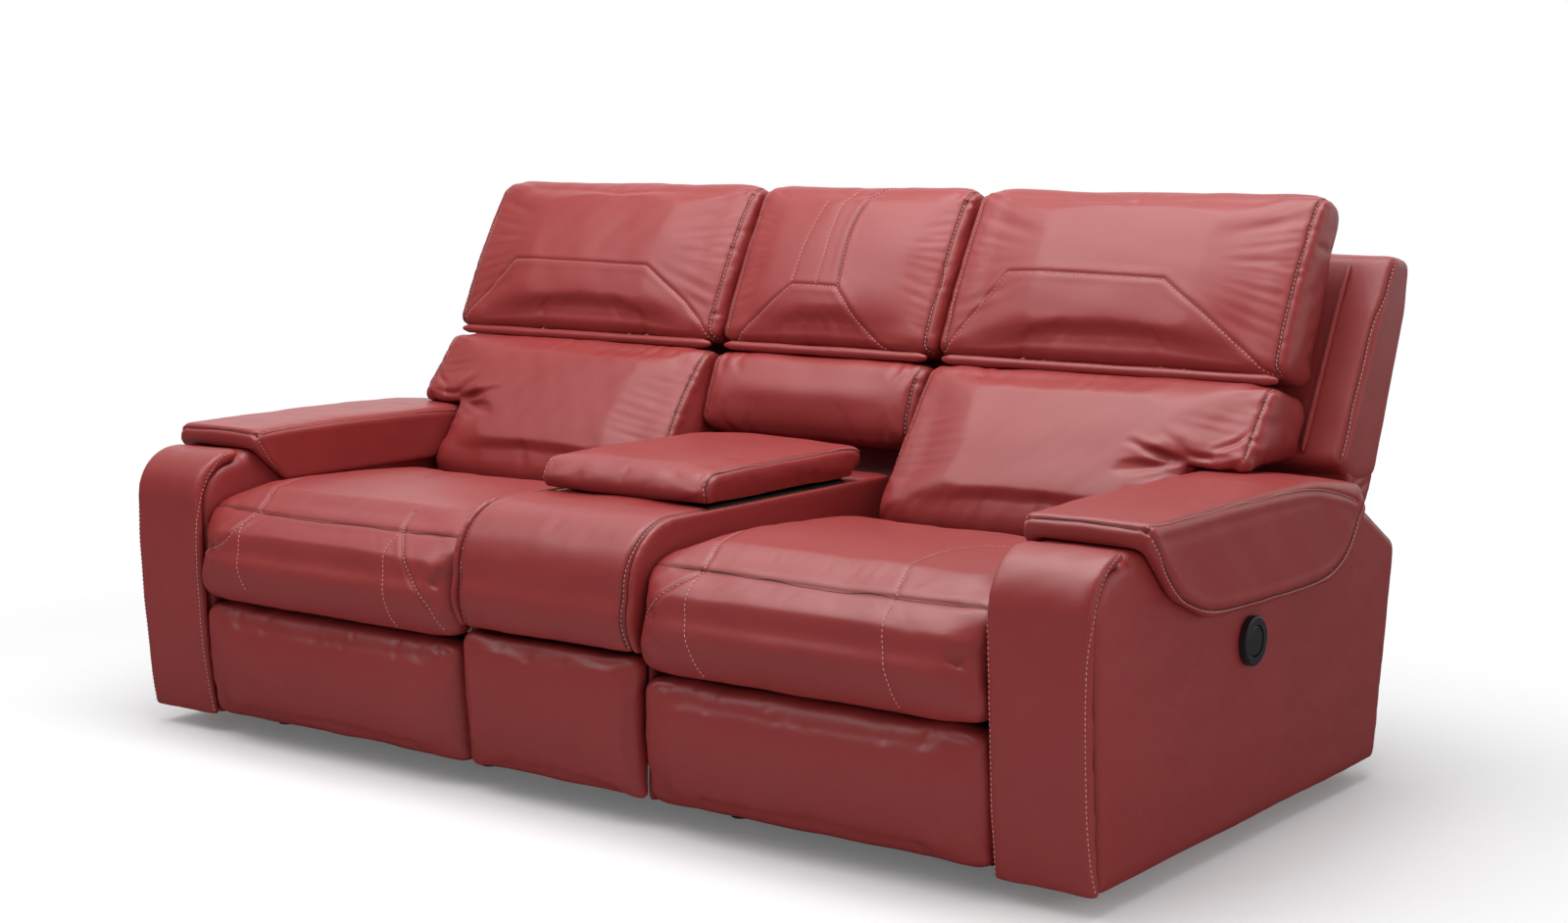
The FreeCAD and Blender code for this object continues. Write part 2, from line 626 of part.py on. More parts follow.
def back_shell():
    """Hollow padded leather outer of the back; its upper part reaches out over the arm."""
    x_low = X_ARM_IN - 22
    main = pillow(SHELL_CORNERS, X_BACK_IN + 1, x_low, draw=6, edge=16)
    wing = pillow(WING_CORNERS, x_low - 60, X_SHELL_OUT, draw=9, edge=20)
    hollow = prism(SHELL_CORNERS, X_BACK_IN + 1 + SHELL_WALL, x_low - SHELL_WALL, SHELL_WALL)
    wing_hollow = prism(WING_CORNERS, x_low - 80, X_SHELL_OUT - SHELL_WALL, SHELL_WALL)
    whole = main.fuse(wing).cut(hollow.fuse(wing_hollow))
    for x in bracket_layers():
        slot = prism(sharp(BRACKET_POINTS, 4), x - 1, x + PLATE + 1)
        whole = whole.cut(slot)
    return whole


BRACKET_POINTS = [(238, 318), (250, 308), (272, 318), (286, 356), (352, 520), (330, 530), (246, 356)]


def bracket_layers():
    return [x + inward * LAYER for x, inward in layers()]


def back_frame():
    """Board and posts inside the shell, with the steel brackets that turn on the pivot."""
    inset = SHELL_WALL + 3
    x_low = X_ARM_IN - 22
    x0, x1 = X_BACK_IN + 1 + inset, x_low - inset
    front = drawn_in(SHELL_CORNERS, inset)
    lean = unit(front[2], front[1])
    panel_base = front[1]
    panel_top = (panel_base[0] + lean[0] * 300, panel_base[1] + lean[1] * 300)
    across = (-lean[1] * -12, lean[0] * -12)
    points = [panel_base, panel_top, (panel_top[0] + across[0], panel_top[1] + across[1]),
              (panel_base[0] + across[0], panel_base[1] + across[1])]
    panel = prism(sharp(points, 1), x0 + 20, x1 - 20)
    solids = [panel]
    for x in bracket_layers():
        bracket = prism(sharp(BRACKET_POINTS, 6), x, x + PLATE)
        solids.append(bracket.cut(rod(x - 1, x + PLATE + 1, BACK_PIVOT, PIN_R + PIN_CLEARANCE)).cut(panel))
    return solids


def lumbar_cushion():
    """Lower back cushion, cut away below where it passes over the arm."""
    whole = pillow(LUMBAR_CORNERS, X_BACK_IN, X_CUSHION_OUT, draw=12, edge=60)
    below = prism(sharp([(-50, LUMBAR_LOW_Z), (420, LUMBAR_LOW_Z), (420, 300), (-50, 300)]),
                  X_ARM_IN - 24, X_SHELL_OUT)
    whole = whole.cut(below)
    whole = whole.cut(prism(grow(SHELL_CORNERS, 1.0), X_BACK_IN - 5, X_SHELL_OUT))
    return whole.cut(prism(grow(WING_CORNERS, 1.0), X_ARM_IN - 84, X_SHELL_OUT))


STRAP_X = (430.0, 700.0)
STRAP_W = 36.0
HEADREST_PIN_R = 2.5


def headrest_straps():
    """Flat steel straps that carry the headrest's pivot in front of the shell."""
    solids = []
    for x in STRAP_X:
        strap = prism(sharp([(HEADREST_PIVOT[0] + 2, HEADREST_PIVOT[1] - 2), (345, 661.5), (372, 711),
                             (368.5, 713), (343, 665), (HEADREST_PIVOT[0] + 2, HEADREST_PIVOT[1] + 1.5)], 0.5),
                      x, x + STRAP_W)
        barrel = rod(x, x + STRAP_W, HEADREST_PIVOT, 5.0)
        hole = rod(x - 1, x + STRAP_W + 1, HEADREST_PIVOT, HEADREST_PIN_R + PIN_CLEARANCE)
        solids.append(strap.fuse(barrel).removeSplitter().cut(hole))
    return solids


def headrest_board():
    """Stiff board in the headrest's foot, with ears and pins for the straps."""
    y, z = HEADREST_PIVOT
    board = prism(sharp([(244, 706), (322, 682), (325, 692), (247, 716)], 1), STRAP_X[0] - 40,
                  STRAP_X[1] + STRAP_W + 40)
    for x in STRAP_X:
        for x0 in (x - 7, x + STRAP_W + 1):
            ear = prism(sharp([(y - 5, z + 4), (y + 5, z - 4), (252, 704), (248, 714)], 1), x0, x0 + 6)
            board = board.fuse([ear, rod(x0, x0 + 6, HEADREST_PIVOT, 6.5)])
        board = board.fuse(rod(x - 7, x + STRAP_W + 7, HEADREST_PIVOT, HEADREST_PIN_R))
    return [board.removeSplitter()]


def headrest_cushion():
    whole = pillow(HEADREST_CORNERS, X_BACK_IN, X_CUSHION_OUT, draw=13, edge=60)
    return whole.cut(headrest_board()[0])


# Centre back, fixed to the console

def centre_back_shell():
    whole = pillow(SHELL_CORNERS, -X_CENTRE_BACK, X_CENTRE_BACK, draw=6, edge=16)
    return whole.cut(prism(SHELL_CORNERS, -X_CENTRE_BACK + SHELL_WALL, X_CENTRE_BACK - SHELL_WALL, SHELL_WALL))


def centre_back_frame():
    """Two posts from the base up to the shell, and a board inside it."""
    posts = [prism(sharp([(196, 64), (236, 64), (236, 300), (256, 350), (216, 350), (196, 300)], 3), x, x + 30)
             for x in (-150, 120)]
    inset = SHELL_WALL + 3
    front = drawn_in(SHELL_CORNERS, inset)
    lean = unit(front[2], front[1])
    across = (lean[1] * 12, -lean[0] * 12)
    top = (front[1][0] + lean[0] * 300, front[1][1] + lean[1] * 300)
    points = [front[1], top, (top[0] + across[0], top[1] + across[1]),
              (front[1][0] + across[0], front[1][1] + across[1])]
    return posts + [prism(sharp(points, 1), -X_CENTRE_BACK + 40, X_CENTRE_BACK - 40)]


def centre_lumbar_cushion():
    corners = [(148, 548, 30, 8), (204, 697, 34, 0), (336, 656, 14, 0), (262, 520, 14, 0)]
    whole = pillow(corners, -X_CENTRE_BACK + 3, X_CENTRE_BACK - 3, draw=12, edge=50)
    return whole.cut(prism(grow(SHELL_CORNERS, 1.0), -300, 300))


def centre_headrest_cushion():
    whole = pillow(HEADREST_CORNERS, -X_CENTRE_BACK + 2, X_CENTRE_BACK - 2, draw=13, edge=50)
    return whole.cut(prism(grow(SHELL_CORNERS, 1.0), -300, 300))


# Base

def base_rails():
    """Steel rails under each mechanism, and two cross rails from arm to arm."""
    solids = []
    for x in (X_RAIL_IN, X_RAIL_OUT):
        rail = box(x, x + RAIL_W, -478, 410, 36, RAIL_TOP_Z)
        solids += [rail, mirrored(rail)]
    for y in CROSS_RAIL_Y:
        solids.append(box(-X_RAIL_IN, X_RAIL_IN, y, y + 30, 36, RAIL_TOP_Z))
        side = box(X_RAIL_OUT + RAIL_W, X_ARM_IN + FIT, y, y + 30, 36, RAIL_TOP_Z)
        solids += [side, mirrored(side)]
    return solids


def feet():
    """Black glides under the ends of the rails."""
    solids = []
    for x in (X_RAIL_IN + RAIL_W / 2, X_RAIL_OUT + RAIL_W / 2):
        for y in (-385, 385):
            foot = Part.makeCone(17, 21, 36, Vector(x, y, 0))
            solids += [foot, mirrored(foot)]
    return solids


def rear_panel():
    corners = [(REAR_PANEL_Y, SKIRT_Z + 4, 6, 0), (REAR_PANEL_Y, 298, 6, 0),
               (REAR_PANEL_Y + 16, 298, 8, 0), (REAR_PANEL_Y + 16, SKIRT_Z + 4, 6, 3)]
    return pillow(corners, -X_ARM_IN, X_ARM_IN, draw=2, edge=20)


def build():
    keep_pair("arm_cover", arm_cover())
    keep_pair("arm_frame", *arm_frame())
    keep_pair("arm_front_pad", arm_front_pad())
    keep_pair("arm_pad", *arm_pad())
    keep_pair("control_bezel", control_bezel())
    keep_pair("control_button", control_button())
    keep("console_side_panels", *console_side_panels())
    keep("console_top_roll", console_top_roll())
    keep("console_rear_block", console_rear_block())
    keep("console_front_pad", console_front_pad())
    keep("storage_box", storage_box())
    keep("bin_liner", bin_liner())
    keep("lid_board", *lid_board())
    keep("lid_pad", lid_pad())
    keep("lid_hinge", *lid_hinge())
    keep_pair("seat_cushion", seat_cushion())
    keep_pair("seat_frame", *seat_frame())
    keep_pair("seat_springs", *seat_springs())
    keep_pair("mechanism_plates", *mechanism_plates())
    keep_pair("rear_links", *rear_links())
    keep_pair("front_links", *front_links())
    keep_pair("footrest_board", *footrest_board())
    keep_pair("footrest_pad", footrest_pad())
    keep_pair("actuator", *actuator())
    keep_pair("actuator_carriage", actuator_carriage())
    keep_pair("back_shell", back_shell())
    keep_pair("back_frame", *back_frame())
    keep_pair("lumbar_cushion", lumbar_cushion())
    keep_pair("headrest_straps", *headrest_straps())
    keep_pair("headrest_board", *headrest_board())
    keep_pair("headrest_cushion", headrest_cushion())
    keep("centre_back_shell", centre_back_shell())
    keep("centre_back_frame", *centre_back_frame())
    keep("centre_lumbar_cushion", centre_lumbar_cushion())
    keep("centre_headrest_cushion", centre_headrest_cushion())
    keep("base_rails", *base_rails())
    keep("feet", *feet())
    keep("rear_panel", rear_panel())
    for shape in nodes.values():
        shape.translate(Vector(0, CENTRE_Y, 0))


build()
os.makedirs(OUT, exist_ok=True)
for name in sorted(nodes):
    shape = nodes[name]
    if not shape.isValid():
        print("not valid:", name)
    for solid in shape.Solids:
        if solid.Volume <= 0:
            print("no volume:", name, solid.Volume)
    shape.exportStep(os.path.join(OUT, name + ".step"))
print(len(nodes), "nodes,", sum(len(s.Solids) for s in nodes.values()), "solids")
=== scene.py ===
import math

import bpy
import numpy as np
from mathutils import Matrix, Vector
from mathutils.bvhtree import BVHTree
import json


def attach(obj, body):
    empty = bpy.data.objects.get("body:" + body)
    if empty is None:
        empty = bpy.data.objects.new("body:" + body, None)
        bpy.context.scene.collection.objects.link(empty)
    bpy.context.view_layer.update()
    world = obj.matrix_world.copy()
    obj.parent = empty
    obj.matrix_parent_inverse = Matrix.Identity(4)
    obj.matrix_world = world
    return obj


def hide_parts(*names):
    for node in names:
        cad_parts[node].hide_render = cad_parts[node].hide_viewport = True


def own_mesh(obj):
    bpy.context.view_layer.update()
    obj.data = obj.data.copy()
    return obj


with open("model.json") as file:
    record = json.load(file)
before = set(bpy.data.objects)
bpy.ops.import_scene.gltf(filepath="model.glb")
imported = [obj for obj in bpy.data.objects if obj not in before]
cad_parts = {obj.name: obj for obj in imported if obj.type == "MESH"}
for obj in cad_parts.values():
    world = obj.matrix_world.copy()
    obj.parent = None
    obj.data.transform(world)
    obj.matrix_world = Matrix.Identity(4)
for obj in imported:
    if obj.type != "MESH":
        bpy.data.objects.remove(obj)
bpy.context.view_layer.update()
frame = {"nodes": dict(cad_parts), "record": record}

NODES = frame["nodes"]
SCENE = bpy.context.scene
MM = 0.001
DRAWING_Y = 12.0  # the part's own drawing measures y from a line this far in front of the origin


def place(x, y, z):
    """A point of the part's drawing, in millimetres, as a place in the scene."""
    return Vector((x * MM, (y + DRAWING_Y) * MM, z * MM))


# Camera

CAMERA_PLACE = (2.62809, -3.44937, 1.10425)
CAMERA_DOWN = 0.134394  # radians below level
CAMERA_ROUND = 0.634853  # radians round from straight ahead
LENS = 56.35


def set_camera():
    """The viewpoint: front right, a little above the headrests."""
    data = bpy.data.cameras.new("camera")
    data.sensor_width = 36.0
    data.lens = LENS
    data.clip_end = 60.0
    camera = bpy.data.objects.new("camera", data)
    camera.location = CAMERA_PLACE
    camera.rotation_euler = (math.pi / 2 - CAMERA_DOWN, 0.0, CAMERA_ROUND)
    SCENE.collection.objects.link(camera)
    SCENE.camera = camera


# Materials

class Number:
    """A number that varies over a surface. Sums and products with it add Math nodes."""

    def __init__(self, finish, socket):
        self.finish, self.socket = finish, socket

    def math(self, operation, first, second=0.0):
        made = self.finish.node("ShaderNodeMath", {"operation": operation}, {0: first, 1: second})
        return Number(self.finish, made.outputs[0])

    def __add__(self, other):
        return self.math("ADD", self, other)

    def __sub__(self, other):
        return self.math("SUBTRACT", self, other)

    def __rsub__(self, other):
        return self.math("SUBTRACT", other, self)

    def __mul__(self, other):
        return self.math("MULTIPLY", self, other)

    __radd__ = __add__
    __rmul__ = __mul__

    def held(self, low, high):
        return self.math("MINIMUM", self.math("MAXIMUM", self, low), high)


class Finish:
    """One material, with its nodes made through a single method."""

    def __init__(self, name, roughness=0.5, metallic=0.0, coat=0.0):
        self.material = bpy.data.materials.new(name)
        self.material.use_nodes = True
        self.tree = self.material.node_tree
        self.shader = self.tree.nodes["Principled BSDF"]
        self.shader.inputs["Roughness"].default_value = roughness
        self.shader.inputs["Metallic"].default_value = metallic
        self.shader.inputs["Coat Weight"].default_value = coat
        self.shader.inputs["Coat Roughness"].default_value = 0.32
        self.places = self.node("ShaderNodeTexCoord").outputs["Object"]

    def node(self, kind, settings=None, inputs=None):
        made = self.tree.nodes.new(kind)
        for name, value in (settings or {}).items():
            setattr(made, name, value)
        for name, value in (inputs or {}).items():
            self.join(made.inputs[name], value)
        return made

    def join(self, socket, value):
        source = value.socket if isinstance(value, Number) else value
        if isinstance(source, bpy.types.NodeSocket):
            self.tree.links.new(source, socket)
        else:
            socket.default_value = source

    def set(self, name, value):
        self.join(self.shader.inputs[name], value)

    def stretched(self, scale):
        """The surface's places, drawn out by a factor along each axis."""
        return self.node("ShaderNodeVectorMath", {"operation": "MULTIPLY"},
                         {0: self.places, 1: scale}).outputs[0]

    def noise(self, scale, detail=3.0, rough=0.55, distortion=0.0, places=None):
        made = self.node("ShaderNodeTexNoise", None, {
            "Vector": places or self.places, "Scale": scale, "Detail": detail,
            "Roughness": rough, "Distortion": distortion})
        return Number(self, made.outputs[0])

    def cells(self, scale, places=None):
        made = self.node("ShaderNodeTexVoronoi", {"feature": "DISTANCE_TO_EDGE"},
                         {"Vector": places or self.places, "Scale": scale})
        return Number(self, made.outputs[0])

    def painted(self, name):
        """A number that the mesh itself carries."""
        made = self.node("ShaderNodeAttribute", {"attribute_name": name})
        return Number(self, made.outputs["Fac"])

    def blend(self, share, first, second):
        made = self.node("ShaderNodeMix", {"data_type": "RGBA"},
                         {0: share, 6: (*first, 1.0) if isinstance(first, tuple) else first,
                          7: (*second, 1.0) if isinstance(second, tuple) else second})
        return made.outputs[2]

    def raised(self, height, distance, strength=1.0):
        bump = self.node("ShaderNodeBump", None, {"Strength": strength, "Distance": distance, "Height": height})
        self.tree.links.new(bump.outputs[0], self.shader.inputs["Normal"])


def red_leather(name, seed):
    """Satin corrected-grain leather: pebble grain, faint creasing, slow drifts of tone, and painted shade in its
    seams.
    """
    finish = Finish(name, roughness=0.42, coat=0.08)
    moved = finish.node("ShaderNodeVectorMath", {"operation": "ADD"},
                        {0: finish.places, 1: (seed * 1.7, seed * 0.9, seed * 2.3)}).outputs[0]
    drift = finish.noise(3.2, 2.0, places=moved)
    mottle = finish.noise(85.0, 4.0, 0.6, places=moved)
    crease = finish.noise(24.0, 5.0, 0.62, 1.4, places=moved)
    pebble = finish.cells(520.0, places=moved)
    fine = finish.noise(1300.0, 2.0)
    # seam is painted shade: the mesh's seam attribute, strongest in the seam folds, darkens the base colour below
    seam = finish.painted("seam")
    tone = (drift * 0.75 + mottle * 0.25).held(0.25, 0.75)
    body = finish.blend(tone, (0.230, 0.0215, 0.0210), (0.292, 0.0325, 0.0315))
    # Painted shade: near-black red mixed into the base colour along the seams
    finish.set("Base Color", finish.blend((seam * 0.55).held(0.0, 0.8), body, (0.090, 0.009, 0.010)))
    finish.set("Roughness", (mottle * 0.10 + drift * 0.06 + seam * 0.15 + 0.335).held(0.2, 0.8))
    grain = (pebble.held(0.0, 0.12) * 3.2 + fine * 0.12) * 0.22
    finish.raised(grain + crease * 0.5 + mottle * 0.16, 0.0011, 0.55)
    return finish.material


def sewing_thread():
    """Bonded thread, a little lighter than the leather, with its twist."""
    finish = Finish("thread", roughness=0.55)
    twist = finish.noise(900.0, 2.0, places=finish.stretched((1.0, 1.0, 1.6)))
    finish.set("Base Color", finish.blend(twist, (0.50, 0.19, 0.155), (0.66, 0.33, 0.28)))
    finish.raised(twist, 0.0003, 0.5)
    return finish.material


def seam_shadow():
    """Painted shade: a near-black tube at the bottom of a seam, where the turned-in leather lies in shade."""
    finish = Finish("painted_seam_shadow", roughness=0.7)
    speck = finish.noise(300.0, 2.0)
    finish.set("Base Color", finish.blend(speck, (0.036, 0.005, 0.006), (0.070, 0.009, 0.010)))
    finish.raised(speck, 0.0003, 0.4)
    return finish.material


def black_plastic():
    finish = Finish("black_plastic", roughness=0.42)
    grain = finish.noise(900.0, 2.0)
    drift = finish.noise(20.0, 3.0)
    finish.set("Base Color", finish.blend(drift, (0.0085, 0.009, 0.011), (0.016, 0.017, 0.020)))
    finish.set("Roughness", drift * 0.12 + 0.34)
    finish.raised(grain, 0.0003, 0.35)
    return finish.material


def timber():
    """Sawn pine and plywood: long grain, growth bands and small pores."""
    finish = Finish("timber", roughness=0.62)
    along = finish.stretched((1.2, 7.0, 9.0))
    bands = finish.noise(7.0, 4.0, 0.6, 1.2, places=along)
    fibre = finish.noise(120.0, 3.0, 0.7, places=finish.stretched((0.12, 1.0, 1.0)))
    tone = (bands * 0.7 + fibre * 0.3).held(0.0, 1.0)
    finish.set("Base Color", finish.blend(tone, (0.31, 0.20, 0.105), (0.47, 0.34, 0.21)))
    finish.set("Roughness", fibre * 0.2 + 0.5)
    finish.raised(fibre + bands * 0.4, 0.0006, 0.5)
    return finish.material


def painted_steel():
    finish = Finish("black_steel", roughness=0.45, metallic=0.0, coat=0.2)
    skin = finish.noise(420.0, 3.0)
    drift = finish.noise(9.0, 3.0)
    finish.set("Base Color", finish.blend(drift, (0.012, 0.012, 0.013), (0.024, 0.024, 0.026)))
    finish.set("Roughness", drift * 0.2 + 0.34)
    finish.raised(skin, 0.0004, 0.4)
    return finish.material


def bright_steel():
    """Zinc-plated steel with faint drawing lines and handling marks."""
    finish = Finish("bright_steel", roughness=0.32, metallic=1.0)
    lines = finish.noise(260.0, 3.0, 0.6, places=finish.stretched((0.08, 1.0, 1.0)))
    marks = finish.noise(30.0, 4.0, 0.65)
    finish.set("Base Color", finish.blend(marks, (0.46, 0.47, 0.48), (0.62, 0.62, 0.61)))
    finish.set("Roughness", lines * 0.14 + marks * 0.16 + 0.2)
    finish.raised(lines, 0.0003, 0.35)
    return finish.material


FINISHES = {"timber": timber(), "black_steel": painted_steel(), "bright_steel": bright_steel(),
            "black_plastic": black_plastic()}
THREAD = sewing_thread()
# Near-black material of the tubes of painted shade in the seams
SEAM_SHADOW_TUBE = seam_shadow()


def dress_frame():
    """Every CAD node that stays in view gets the finish of its slot."""
    for row in frame["record"]["subparts"]:
        finish = FINISHES.get(row["material_slot"])
        if finish is None:
            continue
        mesh = NODES[row["node"]].data
        if not mesh.materials:
            mesh.materials.append(finish)
        for i in range(len(mesh.materials)):
            mesh.materials[i] = finish


# Mesh work shared by the soft pieces

def vertices(mesh):
    found = np.empty(len(mesh.vertices) * 3)
    mesh.vertices.foreach_get("co", found)
    return found.reshape(-1, 3)


def put_vertices(mesh, places):
    mesh.vertices.foreach_set("co", places.ravel())
    mesh.update()


def directions(mesh):
    """The outward direction at each vertex."""
    found = np.empty(len(mesh.vertices) * 3)
    mesh.vertex_normals.foreach_get("vector", found)
    return found.reshape(-1, 3)


def edge_ends(mesh):
    found = np.empty(len(mesh.edges) * 2, np.int64)
    mesh.edges.foreach_get("vertices", found)
    return found.reshape(-1, 2)


def eased(values, ends, times, share=0.5):
    """Each row of values drawn towards the mean of its neighbours along the edges."""
    total = len(values)
    count = np.maximum(np.bincount(ends.ravel(), minlength=total), 1)[:, None]
    for _ in range(times):
        around = np.stack([np.bincount(ends[:, 0], values[ends[:, 1], k], total)
                           + np.bincount(ends[:, 1], values[ends[:, 0], k], total)
                           for k in range(values.shape[1])], 1)
        values = values + share * (around / count - values)
    return values


def settled(piece):
    """Applies the piece's modifiers to its mesh."""
    graph = bpy.context.evaluated_depsgraph_get()
    mesh = bpy.data.meshes.new_from_object(piece.evaluated_get(graph), depsgraph=graph)
    piece.modifiers.clear()
    piece.data = mesh


def new_piece(name, mesh):
    """An object for the mesh, in the scene."""
    piece = bpy.data.objects.new(name, mesh)
    SCENE.collection.objects.link(piece)
    return piece


def add_block(verts, faces, low, high):
    """A closed block added to lists of vertices and faces."""
    base = len(verts)
    for z in (low[2], high[2]):
        verts += [(low[0], low[1], z), (high[0], low[1], z), (high[0], high[1], z), (low[0], high[1], z)]
    faces += [[base + i for i in face] for face in
              ((3, 2, 1, 0), (4, 5, 6, 7), (0, 1, 5, 4), (1, 2, 6, 5), (2, 3, 7, 6), (3, 0, 4, 7))]


def skin_of(node, name, voxel, blocks=()):
    """The node's outer surface as one even mesh; blocks close openings that only the frame needs."""
    source = NODES[node].data
    verts = [tuple(v) for v in vertices(source)]
    faces = [list(p.vertices) for p in source.polygons]
    for low, high in blocks:
        add_block(verts, faces, low, high)
    mesh = bpy.data.meshes.new(name)
    mesh.from_pydata(verts, [], faces)
    piece = new_piece(name, mesh)
    remesh = piece.modifiers.new("even", "REMESH")
    remesh.mode = "VOXEL"
    remesh.voxel_size = voxel
    settled(piece)
    mesh = piece.data
    put_vertices(mesh, eased(vertices(mesh), edge_ends(mesh), 5))
    return piece


def along(points, step):
    """Points every step along a line, rounded where it turns."""
    points = [np.array(p, float) for p in points]
    if len(points) > 2:
        ends = [2 * points[0] - points[1]] + points + [2 * points[-1] - points[-2]]
        fine = []
        for i in range(len(points) - 1):
            a, b, c, d = ends[i:i + 4]
            for t in np.linspace(0, 1, 24, endpoint=False):
                fine.append(0.5 * (2 * b + (c - a) * t + (2 * a - 5 * b + 4 * c - d) * t ** 2
                                   + (3 * b - a - 3 * c + d) * t ** 3))
        fine = np.array(fine + [points[-1]])
    else:
        fine = np.array(points)
    run = np.concatenate([[0.0], np.cumsum(np.linalg.norm(np.diff(fine, axis=0), axis=1))])
    spots = np.linspace(0, run[-1], max(2, int(round(run[-1] / step)) + 1))
    return np.stack([np.interp(spots, run, fine[:, k]) for k in range(3)], 1)


def straight(points, step):
    """Points every step along a line of straight runs, which keeps its corners."""
    rows = [along(points[i:i + 2], step) for i in range(len(points) - 1)]
    return np.concatenate([rows[0]] + [row[1:] for row in rows[1:]])


def tree_of(piece):
    return BVHTree.FromObject(piece, bpy.context.evaluated_depsgraph_get())


def on_surface(tree, path):
    """The nearest places on the surface, with its directions there."""
    spots, ways = [], []
    for point in path:
        spot, way, _, _ = tree.find_nearest(Vector(point))
        spots.append(spot[:])
        ways.append(way[:])
    return np.array(spots), np.array(ways)


def distance_to(places, path):
    """How far each place is from a line of points, and how far along it the nearest part is."""
    near = np.full(len(places), 1e3)
    at = np.zeros(len(places))
    for i in range(len(path) - 1):
        a, b = path[i], path[i + 1]
        low, high = np.minimum(a, b) - 0.03, np.maximum(a, b) + 0.03
        rows = np.nonzero(((places > low) & (places < high)).all(1))[0]
        if not len(rows):
            continue
        way = b - a
        t = np.clip((places[rows] - a) @ way / max(way @ way, 1e-12), 0, 1)
        gap = np.linalg.norm(places[rows] - a - t[:, None] * way, axis=1)
        closer = gap < near[rows]
        near[rows[closer]] = gap[closer]
        at[rows[closer]] = (i + t[closer]) / (len(path) - 1)
    return near, at


# Upholstery: stuffing, seams, folds and stitches

class Seam:
    """A sewn line. thread is the side its stitches lie on, fold is False for stitches alone, and line is False
    where no tube of painted shade is laid in its fold and the painted seam shade is weaker."""

    def __init__(self, points, thread=1, depth=2.0, fold=True, sharp=False, pinned=False, line=True):
        self.points, self.thread, self.depth = points, thread, depth
        self.fold, self.sharp, self.pinned, self.line = fold, sharp, pinned, line

    def path(self, step=6.0):
        line = (straight if self.sharp else along)(self.points, step)
        return np.array([place(*p) for p in line])

    def mirrored(self):
        return Seam([(-x, y, z) for x, y, z in self.points], -self.thread, self.depth,
                    self.fold, self.sharp, self.pinned, self.line)


def stuffed(piece, seams, swell, draw, resting, pressure, spare):
    """The cover blown up over its filling: held at pinned seams, and flat where it rests on something."""
    mesh = piece.data
    ends = edge_ends(mesh)
    full, ways = vertices(mesh), directions(mesh)
    loose = np.ones((len(full), 1))
    for way in resting:
        loose[:, 0] *= 1 - np.clip((ways @ np.array(way) - 0.5) / 0.3, 0, 1)
    loose = eased(loose, ends, 4)
    held = np.zeros(len(full))
    tree = tree_of(piece)
    for seam in seams:
        if seam.pinned:
            near, _ = distance_to(full, on_surface(tree, seam.path())[0])
            held = np.maximum(held, (near < 0.0045).astype(float))
    small = full - ways * draw * loose
    put_vertices(mesh, small)
    group = piece.vertex_groups.new(name="held")
    group.add([int(i) for i in np.nonzero(held > 0.5)[0]], 1.0, "REPLACE")
    cloth = piece.modifiers.new("cover", "CLOTH")
    settings = cloth.settings
    settings.quality = 3
    settings.mass = 0.3
    settings.tension_stiffness = settings.compression_stiffness = 12.0
    settings.shear_stiffness = 4.0
    settings.bending_stiffness = 0.6
    settings.use_pressure = True
    settings.uniform_pressure_force = pressure
    settings.effector_weights.gravity = 0.0
    settings.shrink_min = -spare
    if held.any():
        settings.vertex_group_mass = "held"
        settings.pin_stiffness = 1.0
    cloth.collision_settings.use_collision = False
    cloth.point_cache.frame_start, cloth.point_cache.frame_end = 1, 20
    for number in range(1, 21):
        SCENE.frame_set(number)
    settled(piece)
    SCENE.frame_set(1)
    piece.vertex_groups.clear()
    mesh = piece.data
    moved = vertices(mesh) - small
    length = np.linalg.norm(moved, axis=1, keepdims=True)
    moved *= np.minimum(1.0, swell / np.maximum(length, 1e-9))
    out = eased((moved * ways).sum(axis=1, keepdims=True), ends, 25)
    full_enough = np.maximum(0.0, draw * (1.0 - 0.5 * held[:, None]) - out)
    moved += ways * eased(full_enough, ends, 10)
    put_vertices(mesh, small + eased(moved * loose, ends, 2))


def divided(piece):
    """Splits every face in four, rounded."""
    step = piece.modifiers.new("finer", "SUBSURF")
    step.levels = step.render_levels = 1
    settled(piece)


def waves(places, seed, size, height):
    """Slow unevenness of the filling under the leather."""
    random = np.random.default_rng(seed)
    total = np.zeros(len(places))
    for _ in range(7):
        way = random.normal(size=3)
        way /= np.linalg.norm(way)
        total += np.sin(places @ way * 2 * math.pi / (size * random.uniform(0.6, 1.7)) + random.uniform(0, 6.3))
    return total * height / 2.6


def pucker_lines(path, ways, seed, count, inward, length, near=0.0, far=1.0):
    """Short creases that run into a panel from its seam."""
    random = np.random.default_rng(seed)
    lines = []
    for share in np.sort(random.uniform(near, far, count)):
        i = min(int(share * (len(path) - 1)), len(path) - 2)
        tangent = path[i + 1] - path[i]
        tangent /= np.linalg.norm(tangent)
        side = np.cross(ways[i], tangent) * inward
        lean = random.normal() * 0.35
        reach = length * random.uniform(0.45, 1.2) * MM
        middle = path[i] + side * reach * 0.5 + tangent * lean * reach * 0.35
        end = path[i] + side * reach + tangent * (lean + random.normal() * 0.25) * reach
        lines.append((np.array([path[i], middle, end]), random.uniform(0.5, 1.0)))
    return lines


STITCH_STEP = 1.6  # a quarter of a stitch and its gap, in millimetres
STITCH_RADII = (0.3, 0.9, 0.9, 0.3)
THREAD_OFF = 2.6  # from the seam's edge to its stitches
THREAD_RISE = 0.42
# Radius of the tube of painted shade laid in each seam's fold
SHADE_TUBE_R = 0.62


